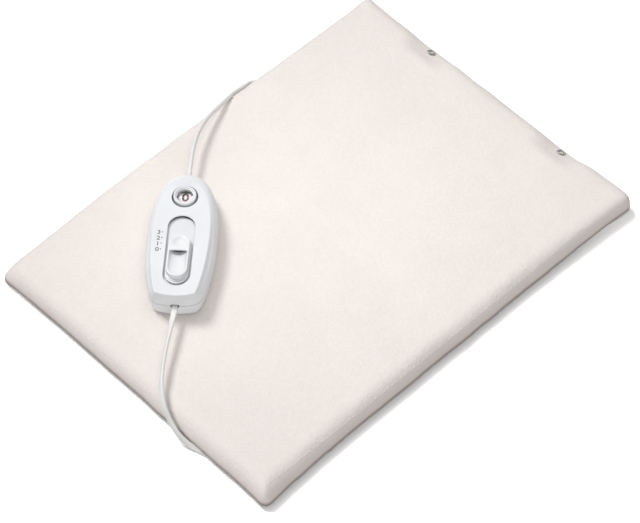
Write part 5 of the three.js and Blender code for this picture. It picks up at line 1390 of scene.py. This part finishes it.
def hollow_shape(name, places):
    """The hollow under the ridge, of the trough's own half-moon section."""
    v = np.linspace(-0.95, 0.95, 33) * TROUGH_RADIUS
    low = KNOB_TOP - TROUGH_DEPTHS[1] * np.sqrt(1 - (v / TROUGH_RADIUS) ** 2)
    outline = np.concatenate([np.stack([v, np.minimum(low, HOLLOW_ROOF - 0.05)], 1),
                              [[v[-1], HOLLOW_ROOF], [v[0], HOLLOW_ROOF]]])
    middle = np.array([0, HOLLOW_ROOF - 1.6])
    rings = []
    for u, share in places:
        vw = middle + (outline - middle) * share
        rings.append(np.column_stack([np.full(len(vw), KNOB_RIDGE + u), vw]))
    return loft(name, rings)


def make_knob():
    start, length, width = KNOB_START, KNOB_END - KNOB_START, KNOB_WIDTH
    near_face = KNOB_RIDGE - TROUGH_FACE
    share = np.concatenate([
        np.linspace(start + width / 2, near_face, 34, endpoint=False),
        np.linspace(near_face, KNOB_RIDGE + RIDGE_BEVEL, 16, endpoint=False),
        np.linspace(KNOB_RIDGE + RIDGE_BEVEL, start + length - width / 2, 21),
    ])
    share = (share - share[0]) / (share[-1] - share[0])

    def smaller(inset):
        return pill_outline(start + inset, length - 2 * inset, width - 2 * inset, KNOB_ARC, share)

    rings = []
    for share_in, w in FLANGE_PROFILE:
        begin, end = lerp(FLANGE_START, KNOB_START, share_in), lerp(FLANGE_END, KNOB_END, share_in)
        wide = lerp(FLANGE_WIDTH, KNOB_WIDTH, share_in)
        rings.append(raised(pill_outline(begin, end - begin, wide, KNOB_ARC, share), w))
    for inset, drop in KNOB_EDGE:
        uv = smaller(inset)
        edge = np.maximum(knob_height(*uv.T) - drop, FLANGE_TOP + 0.85)
        rings.append(raised(uv, edge))
    for inset in KNOB_INSETS:
        uv = smaller(inset)
        rings.append(raised(uv, knob_height(*uv.T)))
    count = len(rings[0])
    points = np.concatenate(rings)
    faces = loft_faces(len(rings), count, (True, False))
    last = (len(rings) - 1) * count
    half = count // 2
    order = [last + (KNOB_ARC // 2 + i) % count for i in range(count)]
    for i in range(half):
        corners = order[i], order[i + 1], order[count - 1 - i], order[(count - i) % count]
        face = tuple(dict.fromkeys(corners))
        if len(face) > 2:
            faces.append(face)
    knob = carve(new_object("slide_knob", points, faces), hollow_shape("hollow", HOLLOW_RINGS))
    weighted(move_to_case(knob), 40)
    fit(knob, knob_plastic, "slider", "knob_plastic", "slider_knob")
    # A dark piece just inside the hollow's faces is painted shade under the ridge.
    hollow_shade = hollow_shape("knob_hollow_shade", HOLLOW_SHADE_RINGS)
    fit(shade(move_to_case(hollow_shade), 40), painted_shade_dark, "slider", "dark_part")


make_knob()


def make_numbers():
    angle = np.linspace(-math.pi / 2, math.pi / 2, 25)
    end = np.stack([STRIP_FAR - STRIP_HALF + STRIP_HALF * np.cos(angle), STRIP_HALF * np.sin(angle)], 1)
    outline = np.concatenate([end, [[STRIP_NEAR, STRIP_HALF], [STRIP_NEAR, -STRIP_HALF]]])
    heights = (STRIP_LOW, STRIP_LOW + 0.1, STRIP_TOP - 0.1, STRIP_TOP)
    strip = loft("figure_strip", [raised(outline, w) for w in heights])
    move_to_case(strip)
    fit(shade(strip, 30), strip_plastic, "slider", "number_strip", "number_strip")
    level = STRIP_TOP + FIGURE_LIFT
    figures = []
    for i in range(1, 4):
        place = (FIGURE_PLACE - i * DIGIT_PITCH, 0, level)
        figures.append(figure_shape(f"figure_{i}", str(i), FIGURE_HEIGHT, place, FIGURE_DEPTH, FIGURE_BOLD))
    figures.append(nought(*NOUGHT_SIZE, (FIGURE_PLACE, 0, level), FIGURE_DEPTH))
    strip_figures = move_to_case(joined("strip_figures", figures))
    fit(strip_figures, maroon_ink, "slider", "number_strip")
    level = CASE_HEIGHT + PRINT_LIFT
    shapes = []
    for i in range(4):
        along = PRINT_START + i * PRINT_PITCH
        place = (along, PRINT_SIDE, level)
        shapes.append(figure_shape(f"scale_{i}", str(i), PRINT_HEIGHT, place, PRINT_DEPTH, PRINT_BOLD))
        shapes.append(disc(DOT_RADIUS, (along + DOT_AHEAD, DOT_SIDE, level), PRINT_DEPTH))
    scale = move_to_case(joined("printed_scale", shapes))
    fit(scale, print_ink, "pad", "dark_part")


make_numbers()


# Press studs
def make_studs():
    z = LIP_TOP + LIP_SLOPE * STUD_INSET
    tilt = math.atan(LIP_SLOPE)
    for name, y in zip("ab", STUD_PLACES):
        section = oval(*STUD_WIRE, (STUD_RADIUS, STUD_LIFT, 0), 16)[:, :2]
        ring = turned(f"stud_ring_{name}", section, 64, (0, 0), True)
        ring.data.transform(
            Matrix.Translation(Vector((STUD_X, y, z)) * MM) @ Matrix.Rotation(tilt, 4, "Y"))
        fit(shade(ring, 60), steel, "flap", "steel", f"press_stud_{name}_cap_ring")


make_studs()


# Boot where the lead enters the pad
def make_boot():
    rings = []
    for share in np.linspace(0, 1, 30):
        along, width, height = (lerp(*ends, share) for ends in (ENTRY_BOOT, ENTRY_WIDTH, ENTRY_HEIGHT))
        rings.append(rounded_ring(along, width, height, 3.5, 40))
    boot = laid("entry_boot", rings, np.array(ENTRY_PLACE), ENTRY_HEADING, 50)
    fit(boot, cord_plastic, "pad", "cord", "lead_boot")


make_boot()


# Floor, world and light
def make_stage():
    mesh = bpy.data.meshes.new("floor")
    corners = [(a * FLOOR_SIZE, b * FLOOR_SIZE, 0) for a, b in ((-1, -1), (1, -1), (1, 1), (-1, 1))]
    mesh.from_pydata(corners, [], [(0, 1, 2, 3)])
    floor = placed("floor", mesh)
    floor.location.z = -FLOOR_DROP
    n = Nodes(bpy.data.materials.new("floor"))
    plain, shaded, extra = (
        n.add("BsdfDiffuse", 0, (tone, tone, tone)) for tone in (FLOOR_TONE, FLOOR_SEEN, FLOOR_EXTRA)
    )
    either = n.add("MixShader", 0, n.seen(), plain, n.add("AddShader", 0, shaded, extra))
    n.fill(n.tree.nodes["Material Output"], either)
    floor.data.materials.append(n.owner)


def make_world():
    world = bpy.data.worlds.new("world")
    bpy.context.scene.world = world
    n = Nodes(world)
    n.fill(n.tree.nodes["Background"], WHITE, n.span(n.seen(), WORLD_LEVEL, 1.0, 0.0, 1.0))


def make_sun(name, level, height, bearing, spread):
    data = bpy.data.lights.new(name, "SUN")
    data.energy = level * math.pi / math.sin(height)
    data.angle = spread
    sun = placed(name, data)
    level_share = math.cos(height)
    towards = Vector((level_share * math.cos(bearing), level_share * math.sin(bearing), math.sin(height)))
    sun.rotation_euler = towards.to_track_quat("Z", "Y").to_euler()


def make_light():
    make_sun("key", KEY_LEVEL, KEY_HEIGHT, KEY_BEARING, KEY_SPREAD)
    make_sun("fill", FILL_LEVEL, FILL_HEIGHT, FILL_BEARING, FILL_SPREAD)
    data = bpy.data.lights.new("softbox", "AREA")
    data.shape = "RECTANGLE"
    data.size, data.size_y = LAMP_SIZE
    reach = Vector(LAMP_PLACE) - Vector(LAMP_AIM)
    data.energy = LAMP_LEVEL * math.pi ** 2 * reach.length ** 3 / reach.z
    lamp = placed("softbox", data)
    lamp.location = LAMP_PLACE
    lamp.rotation_euler = reach.to_track_quat("Z", "Y").to_euler()
    lamp.visible_camera = False


make_stage()
make_world()
make_light()

bpy.context.scene.view_settings.view_transform = "Standard"
